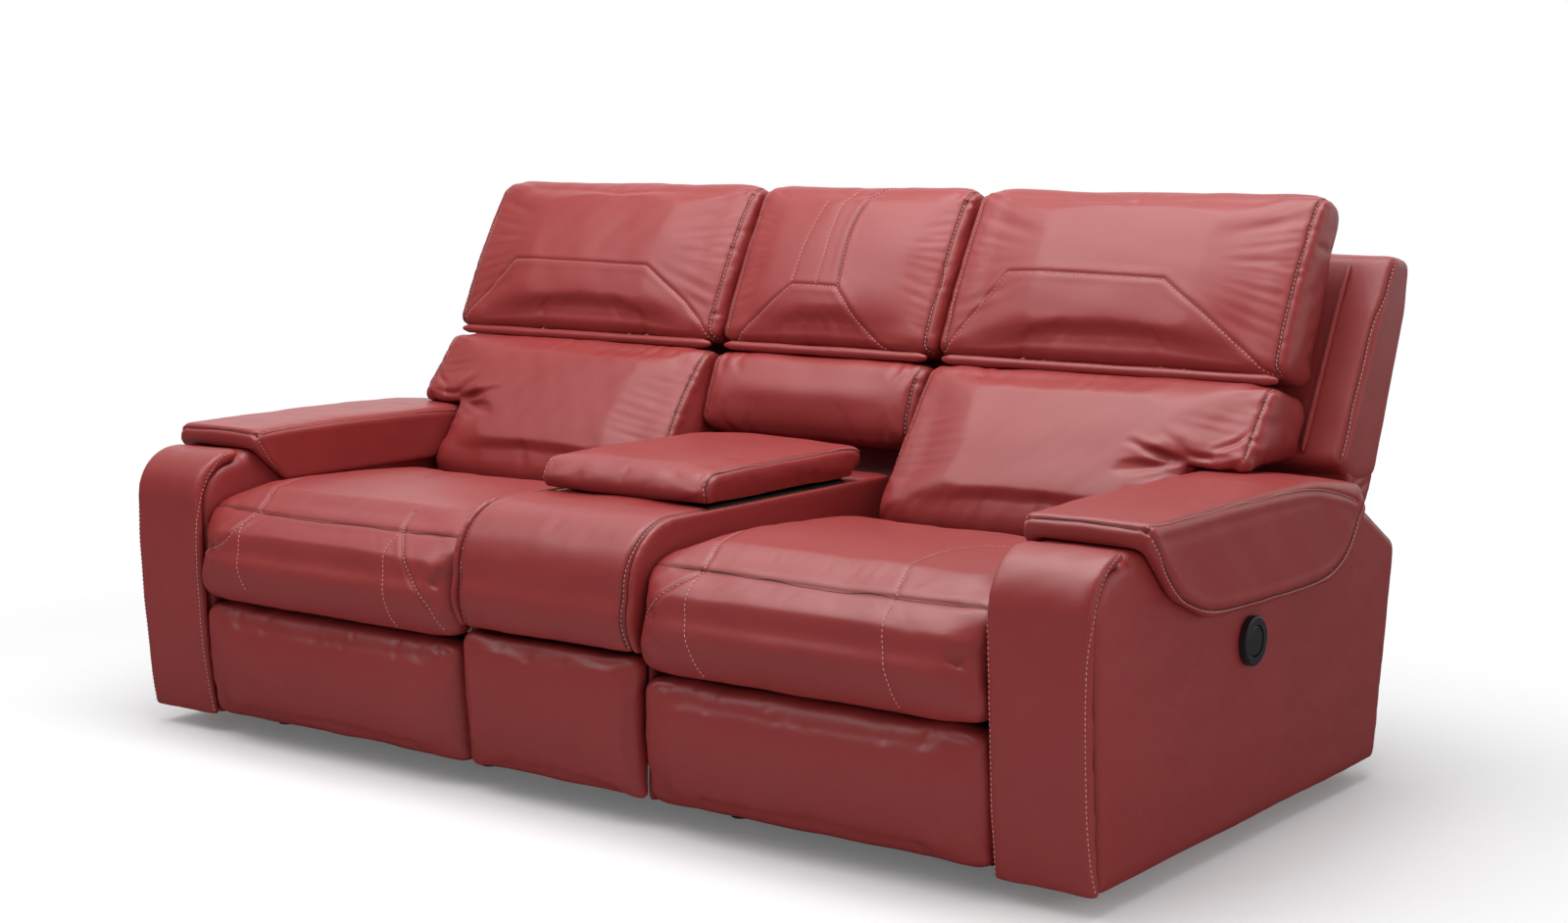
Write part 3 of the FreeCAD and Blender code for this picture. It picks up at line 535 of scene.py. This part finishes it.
def tube(verts, faces, spots, ways, radii, sides):
    """A round tube through the spots, closed at its ends."""
    base = len(verts)
    for i, spot in enumerate(spots):
        tangent = spots[min(i + 1, len(spots) - 1)] - spots[max(i - 1, 0)]
        tangent = tangent / max(np.linalg.norm(tangent), 1e-9)
        across = np.cross(ways[i], tangent)
        across /= max(np.linalg.norm(across), 1e-9)
        up = np.cross(tangent, across)
        for k in range(sides):
            turn = 2 * math.pi * k / sides
            verts.append(tuple(spot + (across * math.cos(turn) + up * math.sin(turn)) * radii[i]))
    for i in range(len(spots) - 1):
        for k in range(sides):
            a, b = base + i * sides + k, base + i * sides + (k + 1) % sides
            faces.append((a, b, b + sides, a + sides))
    faces.append(tuple(base + k for k in reversed(range(sides))))
    faces.append(tuple(base + (len(spots) - 1) * sides + k for k in range(sides)))


def evened(rows, times):
    """A line of places with its small kinks drawn out, and its ends kept."""
    for _ in range(times):
        rows = np.concatenate([rows[:1], (rows[:-2] + 2 * rows[1:-1] + rows[2:]) / 4, rows[-1:]])
    return rows


def laid_on(tree, seam, step=6.0):
    """A seam's line on the cover, and which way is out along it. A soft seam is drawn smooth."""
    path, ways = on_surface(tree, seam.path(step))
    if not seam.sharp:
        path, ways = on_surface(tree, evened(path, int(120 / step)))
        path, ways = evened(path, 4), evened(ways, int(60 / step))
    return path, ways


def stitched(piece, seams, body):
    """Tubes of painted shade at the bottom of the seams, and the stitches beside them, as one piece."""
    verts, faces, kinds = [], [], []
    tree = tree_of(piece)
    for seam in seams:
        path, ways = laid_on(tree, seam, 3.0)
        # A tube of painted shade laid in the seam's fold, where the leather only lies in shade
        if seam.fold and seam.line:
            low, low_ways = on_surface(tree, path - ways * seam.depth * MM)
            low, low_ways = evened(low, 12), evened(low_ways, 12)
            before = len(faces)
            tube(verts, faces, low + low_ways * 0.15 * MM, low_ways, [SHADE_TUBE_R * MM] * len(low), 6)
            kinds += [1] * (len(faces) - before)
        if not seam.thread:
            continue
        path = evened(path, 3)
        fine = along([tuple(p) for p in path[::2]] + [tuple(path[-1])], STITCH_STEP * MM)
        per_stitch = 4
        for i in range(0, len(fine) - per_stitch, per_stitch + 1):
            spots = fine[i:i + per_stitch]
            tangent = spots[-1] - spots[0]
            tangent /= max(np.linalg.norm(tangent), 1e-9)
            _, way = on_surface(tree, spots[1:2])
            side = np.cross(way[0], tangent) * seam.thread * (THREAD_OFF if seam.fold else 0.0) * MM
            laid, laid_ways = on_surface(tree, spots + side)
            laid = laid + laid_ways * np.array([[0.0], [THREAD_RISE], [THREAD_RISE], [0.0]]) * MM
            before = len(faces)
            tube(verts, faces, laid, laid_ways, [r * MM for r in STITCH_RADII], 6)
            kinds += [0] * (len(faces) - before)
    mesh = bpy.data.meshes.new(piece.name + "_stitches_and_seam_shade")
    mesh.from_pydata(verts, [], faces)
    mesh.materials.append(THREAD)
    mesh.materials.append(SEAM_SHADOW_TUBE)
    mesh.polygons.foreach_set("material_index", kinds)
    mesh.polygons.foreach_set("use_smooth", [True] * len(faces))
    made = new_piece(mesh.name, mesh)
    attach(made, body)
    return made


def dent(gap, width, rise, rise_at, rise_width):
    """A pressed line seen end on: down at the line, and a little up beside it."""
    return -np.exp(-(gap / width) ** 2) + rise * np.exp(-((gap - rise_at) / rise_width) ** 2)


def sewn(piece, seams, puckers, creases, seed, wave):
    """Presses the seams and folds into the leather and lets the filling rise beside them; painted shade along the
    seam folds goes into the mesh's seam attribute.
    """
    mesh = piece.data
    places, ways = vertices(mesh), directions(mesh)
    lift = waves(places, seed, 0.16, wave * MM) + waves(places, seed + 50, 0.06, wave * 0.28 * MM)
    painted_seam_shade = np.zeros(len(places))
    tree = tree_of(piece)
    paths = {}
    for seam in seams:
        path, path_ways = laid_on(tree, seam)
        paths[id(seam)] = (path, path_ways)
        near, _ = distance_to(places, path)
        gap = near / MM
        if seam.fold:
            lift += seam.depth * MM * dent(gap, 3.4, 0.3, 10.0, 7.0)
            # Painted shade in the seam's fold, weaker where no tube of painted shade is laid
            painted_seam_shade = np.maximum(painted_seam_shade, (1.0 if seam.line else 0.45) * np.exp(-(gap / 2.6) ** 2))
        else:
            lift -= 0.5 * MM * np.exp(-(gap / 3.4) ** 2)
    for index, count, inward, length, depth, near_end, far_end in puckers:
        path, path_ways = paths[id(seams[index])]
        lines = pucker_lines(path, path_ways, seed + index, count, inward, length, near_end, far_end)
        for line, share in lines:
            line, _ = on_surface(tree, line)
            near, at = distance_to(places, along([tuple(p) for p in line], 4 * MM))
            gap = near / MM
            fade = np.clip(1 - at, 0, 1) ** 0.8
            lift += depth * share * MM * fade * dent(gap, 5.0, 0.4, 10.0, 5.5)
    for points, width, depth in creases:
        line, _ = on_surface(tree, np.array([place(*p) for p in along(points, 5.0)]))
        near, at = distance_to(places, line)
        gap = near / MM / width
        fade = np.sin(np.clip(at, 0, 1) * math.pi) ** 0.7
        lift += depth * MM * fade * dent(gap, 1.0, 0.4, 2.1, 1.1)
    put_vertices(mesh, places + ways * lift[:, None])
    # The painted seam shade, kept on the mesh for the leather's base colour
    painted_shade_attribute = mesh.attributes.new("seam", "FLOAT", "POINT")
    painted_shade_attribute.data.foreach_set("value", painted_seam_shade.astype(np.float32))
    mesh.polygons.foreach_set("use_smooth", [True] * len(mesh.polygons))


def trim_roll(name, body, points, radius):
    """A slim roll of leather sewn along a line."""
    path = along([tuple(place(*p)) for p in points], 6 * MM)
    verts, faces = [], []
    steps = np.arange(len(path))
    slimming = np.minimum(1.0, np.minimum(steps, steps[::-1]) / 3.0 * 0.6 + 0.4)
    upright = abs(path[-1][0] - path[0][0]) < 0.1
    out = [1.0, 0.0, 0.3] if upright else [0.0, -1.0, 0.2]
    tube(verts, faces, path, np.tile(out, (len(path), 1)), list(radius * MM * slimming), 14)
    mesh = bpy.data.meshes.new(name)
    mesh.from_pydata(verts, [], faces)
    piece = new_piece(name, mesh)
    divided(piece)
    sewn(piece, [], (), (), 31, 0.4)
    piece.data.materials.append(LEATHERS[0])
    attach(piece, body)
    return piece


def slab(name, outline, x0, x1, voxel):
    """A rounded form with one outline in the side view, from x0 to x1."""
    count = len(outline)
    verts = [tuple(place(x, y, z)) for x in (x0, x1) for y, z in outline]
    faces = [tuple(range(count)), tuple(reversed(range(count, 2 * count)))]
    faces += [(i, i + count, (i + 1) % count + count, (i + 1) % count) for i in range(count)]
    mesh = bpy.data.meshes.new(name)
    mesh.from_pydata(verts, [], faces)
    piece = new_piece(name, mesh)
    remesh = piece.modifiers.new("even", "REMESH")
    remesh.mode = "VOXEL"
    remesh.voxel_size = voxel * MM
    settled(piece)
    put_vertices(piece.data, eased(vertices(piece.data), edge_ends(piece.data), 8))
    return piece


def flap(name, outline, x0, x1, body):
    """A flat strip of leather that closes the gap under a back."""
    piece = slab(name, outline, x0, x1, 4.0)
    sewn(piece, [], (), (), 37, 0.6)
    piece.data.materials.append(LEATHERS[2])
    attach(piece, body)
    return piece


BASES = {}
LEATHERS = [red_leather("red_leather_" + word, seed) for seed, word in enumerate(("one", "two", "three"))]


def flipped(mesh, name):
    """A mirror image of a mesh across the middle of the sofa."""
    verts = vertices(mesh) * np.array([-1.0, 1.0, 1.0])
    faces = [list(reversed(p.vertices)) for p in mesh.polygons]
    made = bpy.data.meshes.new(name)
    made.from_pydata([tuple(v) for v in verts], [], faces)
    return made


def cushion(node, body, seams=(), puckers=(), creases=(), voxel=6.0, swell=9.0, draw=5.0, resting=(),
            pressure=4.0, spare=0.012, blocks=(), fine=True, fill=0.6, wave=0.9, seed=1, twin=None):
    """One upholstered piece in place of its CAD solid. twin is the piece that it mirrors."""
    name = node.replace("_cushion", "")
    if twin:
        piece = new_piece(name, flipped(BASES[twin], name))
    else:
        piece = skin_of(node, name, voxel * MM, blocks)
        if swell:
            stuffed(piece, seams, swell * MM, draw * MM, resting, pressure, spare)
        if fine:
            divided(piece)
        BASES[node] = piece.data.copy()
    sewn(piece, list(seams), puckers, creases, seed, wave)
    piece.data.materials.clear()
    piece.data.materials.append(LEATHERS[seed % 3])
    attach(piece, body)
    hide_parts(node)
    if seams:
        stitched(piece, seams, body)
    return piece


def pair(stem, body, seams=(), left=None, **facts):
    """A piece and its mirror image; left gives what the left one has of its own."""
    bodies = (body, body) if body == "sofa" else (body + "_right", body + "_left")
    cushion(stem + "_right", bodies[0], seams, **facts)
    own = dict(facts)
    own["seams"] = [seam.mirrored() for seam in seams]
    own["puckers"] = [(i, n, -side, *rest) for i, n, side, *rest in facts.get("puckers", ())]
    own["creases"] = [([(-x, y, z) for x, y, z in points], w, d) for points, w, d in facts.get("creases", ())]
    own["seed"] = facts.get("seed", 1) + 1
    own.update(left or {})
    cushion(stem + "_left", bodies[1], twin=stem + "_right", **own)


# The sofa's pieces. Seam points are in millimetres on the part's drawing.

def ring(x, points):
    """Points of a side view, all at one x."""
    return [(x, y, z) for y, z in points]


HEADREST_EDGE = [(452, 978), (400, 1000), (363, 996), (331, 962), (300, 909), (257, 830), (223, 771), (205, 711),
                 (240, 694)]


def headrests():
    """Upper cushions of the two recliners, each with a sewn trapezium."""
    outer = Seam(ring(917, HEADREST_EDGE), thread=1, pinned=True)
    inner = Seam(ring(258, HEADREST_EDGE), thread=-1, pinned=True)
    pattern = Seam([(258, 228, 706), (271, 226, 720), (374, 274, 853), (533, 272, 851), (685, 271, 848),
                    (796, 241, 779), (899, 228, 709), (910, 230, 700)],
                   thread=-1, depth=1.7, sharp=True, line=False)
    left_pattern = Seam([(-915, 232, 708), (-788, 267, 839), (-603, 264, 837), (-441, 264, 835), (-332, 239, 773),
                         (-262, 240, 706)], thread=-1, depth=1.7, sharp=True, line=False)
    pair("headrest_cushion", "headrest", [outer, inner, pattern],
         puckers=[(0, 7, 1, 46, 1.0, 0.15, 0.95), (1, 6, -1, 40, 0.9, 0.15, 0.95)],
         left={"seams": [outer.mirrored(), inner.mirrored(), left_pattern],
               "puckers": [(0, 5, -1, 30, 0.8, 0.15, 0.95), (1, 8, 1, 44, 1.2, 0.2, 0.95)]},
         resting=[(0, 1, -0.2)], swell=22, draw=6, pressure=8.0, spare=0.008, seed=3, fill=0.8)


def lumbars():
    """Lower back cushions, with the folds where they rest on the arm."""
    outer = Seam(ring(909, [(228, 694), (203, 686), (180, 660), (146, 623), (116, 582)]), thread=1, pinned=True)
    inner = Seam(ring(258, [(228, 694), (203, 686), (180, 660), (146, 623), (105, 560), (72, 490), (58, 430),
                            (66, 388)]), thread=-1, pinned=True)
    folds = [([(700, 96, 606), (755, 104, 578), (815, 122, 556)], 6.0, 3.4),
             ([(735, 100, 596), (785, 110, 572), (850, 128, 566)], 5.0, 2.6),
             ([(800, 112, 585), (840, 122, 574), (880, 130, 570)], 4.5, 2.0),
             ([(905, 150, 625), (888, 140, 600), (850, 130, 578)], 5.0, 2.4),
             ([(760, 90, 640), (800, 100, 600), (818, 116, 566)], 8.0, 1.8)]
    pair("lumbar_cushion", "back", [outer, inner], creases=folds,
         puckers=[(0, 5, 1, 36, 1.0, 0.1, 0.95), (1, 6, -1, 38, 0.9, 0.05, 0.7)],
         resting=[(0, 1, -0.3)], swell=22, draw=6, pressure=8.0, spare=0.008, seed=5, fill=0.75)


def seats():
    """Seat cushions with their pattern of seams, and the footrests under them."""
    across = [(203, -512, 426), (303, -516, 428), (488, -519, 428), (667, -519, 428), (829, -512, 426)]
    seams = [Seam(across, thread=0, depth=1.8, pinned=True),
             Seam([(203, -556, 352), (256, -549, 380), (303, -516, 429), (285, -430, 450), (270, -372, 452)],
                  thread=1, depth=2.2, line=False),
             Seam([(303, -516, 428), (303, -552, 369), (322, -564, 296), (330, -548, 266)], fold=False),
             Seam([(664, -521, 425), (671, -553, 366), (686, -566, 315), (694, -546, 264)], fold=False),
             Seam([(663, -517, 428), (643, -424, 450), (645, -343, 453), (672, -268, 453), (740, -215, 452)],
                  thread=1, depth=1.4, line=False)]
    left = [seams[0].mirrored(),
            Seam([(-829, -556, 352), (-749, -552, 368), (-710, -515, 429), (-738, -430, 450), (-772, -339, 451)],
                 thread=-1, depth=2.2, line=False),
            Seam([(-719, -541, 399), (-709, -556, 342), (-696, -562, 285)], fold=False),
            Seam([(-365, -472, 447), (-354, -514, 429), (-321, -541, 399), (-291, -555, 359), (-248, -564, 318),
                  (-222, -552, 270)], thread=1, depth=2.0, line=False),
            Seam([(-353, -524, 420), (-356, -548, 388), (-341, -564, 331), (-335, -548, 264)], fold=False)]
    pair("seat_cushion", "sofa", seams, left={"seams": left}, voxel=6.8, swell=22, draw=6,
         pressure=7.0, spare=0.004, resting=[(0, 0, -1), (0, 1, 0)], seed=7, fill=0.75,
         creases=[([(560, -250, 455), (620, -120, 452), (700, -60, 446)], 22, 2.2)])
    pair("footrest_pad", "footrest", swell=14, draw=5, spare=0.002, resting=[(0, 1, 0)], seed=9, fill=0.7,
         creases=[([(212, -545, 222), (232, -550, 240), (262, -549, 250)], 5, 1.8),
                  ([(236, -552, 226), (250, -551, 240), (256, -545, 250)], 4, 1.4),
                  ([(818, -545, 226), (800, -550, 240), (768, -549, 250)], 5, 1.6),
                  ([(440, -552, 230), (452, -550, 242), (456, -545, 250)], 5, 1.0)])


def console():
    """The console's cover, its front, sides and rear, and the padded lid."""
    roll_edge = [(-556, 290), (-572, 340), (-566, 400), (-545, 440), (-506, 476), (-455, 492), (-333, 492)]
    cushion("console_top_roll", "sofa",
            [Seam(ring(side * 178, roll_edge), thread=-side, depth=2.0, pinned=True) for side in (1, -1)],
            swell=10, draw=5, spare=0.0, resting=[(0, 1, 0), (0, 0, -1)], seed=2, fill=0.7)
    cushion("console_front_pad", "sofa", swell=12, draw=5, spare=0.002, resting=[(0, 1, 0)], seed=4, fill=0.7,
            creases=[([(-150, -548, 272), (-60, -551, 262), (40, -551, 270)], 8, 1.2),
                     ([(60, -549, 270), (120, -549, 262), (175, -546, 272)], 6, 1.4)])
    cushion("console_rear_block", "sofa", swell=0, seed=6, fill=0.6)
    cushion("console_side_panels", "sofa", swell=0, voxel=5.0, seed=8, fill=0.3, wave=0.3)
    lid_edge = [(-352, 502), (-356, 524), (-345, 541), (-319, 549), (-143, 550), (30, 550), (82, 545), (97, 530),
                (97, 512)]
    cushion("lid_pad", "console_lid",
            [Seam(ring(side * 178, lid_edge), thread=side, depth=2.2, pinned=True) for side in (1, -1)],
            swell=10, draw=5, spare=0.006, resting=[(0, 0, -1)], seed=10, fill=0.7)


def centre_back():
    """The narrow back between the recliners."""
    edge = [Seam(ring(side * 234, HEADREST_EDGE), thread=side, pinned=True) for side in (1, -1)]
    pattern = [Seam([(-222, 232, 700), (-210, 234, 704), (-84, 255, 814), (21, 252, 812), (88, 228, 748),
                     (165, 226, 690), (176, 232, 684)], thread=-1, depth=1.7, sharp=True, line=False),
               Seam([(21, 253, 812), (14, 285, 878), (14, 323, 936), (38, 367, 990), (60, 392, 1001)], thread=-1,
                    depth=1.8),
               Seam([(-26, 255, 816), (-28, 293, 891), (-28, 334, 952), (-14, 367, 990)], fold=False),
               Seam([(-84, 258, 820), (-80, 290, 884), (-70, 322, 935), (-62, 345, 970)], fold=False)]
    cushion("centre_headrest_cushion", "sofa", edge + pattern, resting=[(0, 1, -0.2)],
            swell=20, draw=6, pressure=8.0, spare=0.010, seed=11, fill=0.75,
            puckers=[(0, 8, 1, 50, 1.2, 0.15, 0.95), (1, 5, -1, 30, 0.8, 0.2, 0.95)])
    low = [(240, 690), (206, 686), (184, 660), (160, 600), (150, 560), (170, 540)]
    cushion("centre_lumbar_cushion", "sofa",
            [Seam(ring(side * 231, low), thread=side, pinned=True) for side in (1, -1)],
            resting=[(0, 1, -0.3)], swell=16, draw=6, pressure=7.0, seed=12, fill=0.8,
            puckers=[(0, 4, 1, 30, 0.8, 0.2, 0.9), (1, 4, -1, 26, 0.8, 0.2, 0.9)])
    cushion("centre_back_shell", "sofa", swell=0, seed=13, fill=0.4, wave=0.6)


def arms():
    """The arms' covers, rolled fronts and saddle pads."""
    side_edge = Seam(ring(1005, [(262, 514), (330, 499), (397, 468), (470, 430), (512, 402), (505, 340),
                                 (480, 160), (460, 44)]), thread=0, depth=1.4)
    hole = ((0.93, -0.074, 0.290), (1.0015, -0.002, 0.384))
    pair("arm_cover", "sofa", [side_edge], swell=0, blocks=[hole], fine=False, seed=14, fill=0.4, wave=0.7)
    front_out = [(-519, 42), (-541, 120), (-549, 220), (-553, 320), (-550, 395), (-537, 455), (-505, 498),
                 (-470, 515), (-452, 519)]
    front_in = [(-522, 42), (-541, 120), (-549, 220), (-553, 320), (-550, 395), (-537, 455), (-505, 500),
                (-470, 517), (-452, 519)]
    pair("arm_front_pad", "sofa",
         [Seam(ring(1002, front_out), fold=False), Seam(ring(842, front_in), fold=False)],
         swell=0, voxel=5.0, seed=15, fill=0.5)
    pad = [Seam([(820, -422, 546), (911, -423, 551), (1022, -424, 546)], thread=0, depth=2.4, pinned=True),
           Seam([(1022, -423, 546), (1030, -330, 550), (1033, -199, 552), (1033, -60, 549), (1033, 60, 545),
                 (1032, 150, 535), (1030, 222, 520), (1022, 280, 503)],
                thread=1, depth=2.0, pinned=True, line=False),
           Seam([(1024, -424, 544), (1030, -408, 520), (1034, -385, 489), (1034, -350, 452), (1034, -307, 424),
                 (1034, -219, 402), (1034, -100, 395), (1034, 40, 392), (1034, 150, 394), (1034, 215, 408),
                 (1034, 262, 440), (1034, 292, 480), (1028, 312, 498)], thread=-1, depth=2.2, pinned=True),
           Seam([(820, -423, 545), (820, -330, 551), (820, -204, 552), (819, -60, 551), (819, 80, 545),
                 (820, 180, 533)], thread=-1, depth=1.8, pinned=True, line=False),
           Seam([(820, -422, 543), (819, -405, 510), (819, -375, 472)], thread=-1, depth=1.6, line=False)]
    pair("arm_pad", "sofa", pad, swell=0, voxel=5.5, seed=17, fill=0.65)


BACK_EDGE = [(462, 880), (436, 842), (413, 803), (370, 724), (325, 641), (290, 575)]
SKIRT_EDGE = [(318, 552), (345, 540), (425, 540), (421, 520), (408, 497), (388, 471), (330, 489), (322, 500)]
HANGING_FLAP = [(326, 358), (338, 376), (414, 308), (415, 262), (405, 262), (404, 300)]
UPRIGHT_FLAP = [(412, 262), (408, 498), (420, 506), (421, 262)]


def backs():
    """The backs' outer shells and the trim round them, and the rear panel with its flaps."""
    front = Seam([(1000, 486, 888), (999, 472, 872), (999, 440, 820), (998, 409, 790), (996, 360, 700),
                  (996, 318, 620), (996, 290, 570)], thread=1, depth=1.8)
    rear = Seam([(1000, 548, 880), (1000, 542, 800), (999, 505, 700), (998, 470, 610), (996, 440, 545)],
                thread=0, depth=1.4)
    pair("back_shell", "back", [front, rear], swell=0, seed=19, fill=0.4, wave=0.7)
    for word, side in (("right", 1), ("left", -1)):
        body = "back_" + word
        trim_roll("headrest_gusset_" + word, body,
                  [(side * x, 227, 698) for x in (262, 400, 587, 760, 913)], 9.5)
        trim_roll("back_edge_roll_" + word, body, ring(side * 930, BACK_EDGE), 5.0)
        skirt = slab("back_skirt_" + word, SKIRT_EDGE, side * 844, side * 1000, 4.5)
        folds = [([(side * 1000, 335, 500), (side * 1002, 372, 512), (side * 1000, 410, 522)], 5, 2.0),
                 ([(side * 1000, 335, 520), (side * 1002, 365, 528), (side * 1000, 400, 530)], 4, 1.4)]
        sewn(skirt, [], (), folds, 33, 0.8)
        skirt.data.materials.append(LEATHERS[1])
        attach(skirt, body)
        tuple(place(side * 920, 380, 545))
        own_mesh(skirt)
    trim_roll("centre_gusset", "sofa", [(x, 227, 698) for x in (-230, -110, 0, 110, 230)], 9.5)
    cushion("rear_panel", "sofa", swell=0, voxel=5.0, seed=21, fill=0.2, wave=0.5)
    flap("rear_flap_right", HANGING_FLAP, 268, 822, "back_right")
    flap("rear_flap_left", HANGING_FLAP, -822, -268, "back_left")
    flap("rear_flap_centre", UPRIGHT_FLAP, -236, 236, "sofa")


# Floor and light

def floor():
    """A pale floor: it keeps the sofa's shadow near it, and runs into the white beyond."""
    finish = Finish("floor", roughness=0.9)
    light = finish.node("ShaderNodeLightPath")
    seen = Number(finish, light.outputs["Is Camera Ray"])
    mirrored = Number(finish, light.outputs["Is Glossy Ray"])
    speck = finish.noise(30.0, 2.0)
    near = finish.blend(speck, (0.87, 0.87, 0.88), (0.90, 0.90, 0.91))
    plain = finish.blend(mirrored, (0.85, 0.85, 0.85), (0.06, 0.06, 0.06))
    finish.set("Base Color", finish.blend(seen, plain, near))
    glow = finish.node("ShaderNodeEmission", None, {"Color": (1.0, 1.0, 1.0, 1.0), "Strength": 1.0})
    away = finish.node("ShaderNodeVectorMath", {"operation": "LENGTH"},
                       {0: finish.stretched((0.66, 0.95, 1.0))})
    far = ((Number(finish, away.outputs["Value"]) - 0.74) * 1.4).held(0.0, 1.0)
    share = (far * 0.88 + 0.12) * seen
    mix = finish.node("ShaderNodeMixShader", None, {0: share, 1: finish.shader.outputs[0], 2: glow.outputs[0]})
    finish.tree.links.new(mix.outputs[0], finish.tree.nodes["Material Output"].inputs["Surface"])
    mesh = bpy.data.meshes.new("floor")
    mesh.from_pydata([(-14, -14, 0), (14, -14, 0), (14, 14, 0), (-14, 14, 0)], [], [(0, 1, 2, 3)])
    mesh.materials.append(finish.material)
    new_piece("floor", mesh)


def sky(strength):
    """White where it is seen, dimmer as light, and mirrored as a white wall behind and a dim room in front."""
    world = bpy.data.worlds.new("studio")
    SCENE.world = world
    world.use_nodes = True
    tree = world.node_tree

    def step(kind, **settings):
        made = tree.nodes.new(kind)
        for key, value in settings.items():
            setattr(made, key, value)
        return made

    def ground(level):
        made = step("ShaderNodeBackground")
        made.inputs["Color"].default_value = (1.0, 1.0, 1.0, 1.0)
        made.inputs["Strength"].default_value = level
        return made

    path, way = step("ShaderNodeLightPath"), step("ShaderNodeTexCoord")
    parts = step("ShaderNodeSeparateXYZ")
    # Dim towards the front of the sofa and white behind it, by the y of the direction
    slope = step("ShaderNodeMath", operation="MULTIPLY_ADD", use_clamp=True)
    slope.inputs[1].default_value, slope.inputs[2].default_value = 1.8, 0.36
    tree.links.new(way.outputs["Generated"], parts.inputs[0])
    tree.links.new(parts.outputs["Y"], slope.inputs[0])
    mirror, glossy, seen = (step("ShaderNodeMixShader") for _ in range(3))
    for mix, share, first, second in (
            (mirror, slope.outputs[0], ground(0.05).outputs[0], ground(1.0).outputs[0]),
            (glossy, path.outputs["Is Glossy Ray"], ground(strength).outputs[0], mirror.outputs[0]),
            (seen, path.outputs["Is Camera Ray"], glossy.outputs[0], ground(1.0).outputs[0])):
        tree.links.new(share, mix.inputs[0])
        tree.links.new(first, mix.inputs[1])
        tree.links.new(second, mix.inputs[2])
    tree.nodes.remove(tree.nodes["Background"])
    tree.links.new(seen.outputs[0], tree.nodes["World Output"].inputs["Surface"])


def lamp(name, spot, target, size, power, mirrored=True):
    """A soft box. One that isn't mirrored gives light and no highlight."""
    data = bpy.data.lights.new(name, "AREA")
    data.shape = "RECTANGLE"
    data.size, data.size_y = size
    data.energy = power
    made = bpy.data.objects.new(name, data)
    made.location = spot
    made.rotation_euler = (Vector(target) - Vector(spot)).to_track_quat("-Z", "Y").to_euler()
    made.visible_camera = False
    made.visible_glossy = mirrored
    SCENE.collection.objects.link(made)


def studio():
    """One wide soft light overhead, one from the front left, and a weak fill from the right."""
    sky(0.32)
    lamp("overhead", (0.1, -0.2, 3.0), (0.0, 0.0, 0.4), (3.2, 1.8), 98.0)
    lamp("key", (-2.0, -2.2, 3.4), (0.0, 0.0, 0.6), (2.2, 1.6), 43.0)
    lamp("fill", (3.6, -1.9, 1.0), (0.4, -0.2, 0.4), (2.2, 1.2), 27.0, mirrored=False)
    SCENE.view_settings.view_transform = "Standard"


set_camera()
dress_frame()
headrests()
lumbars()
seats()
console()
centre_back()
arms()
backs()
floor()
studio()
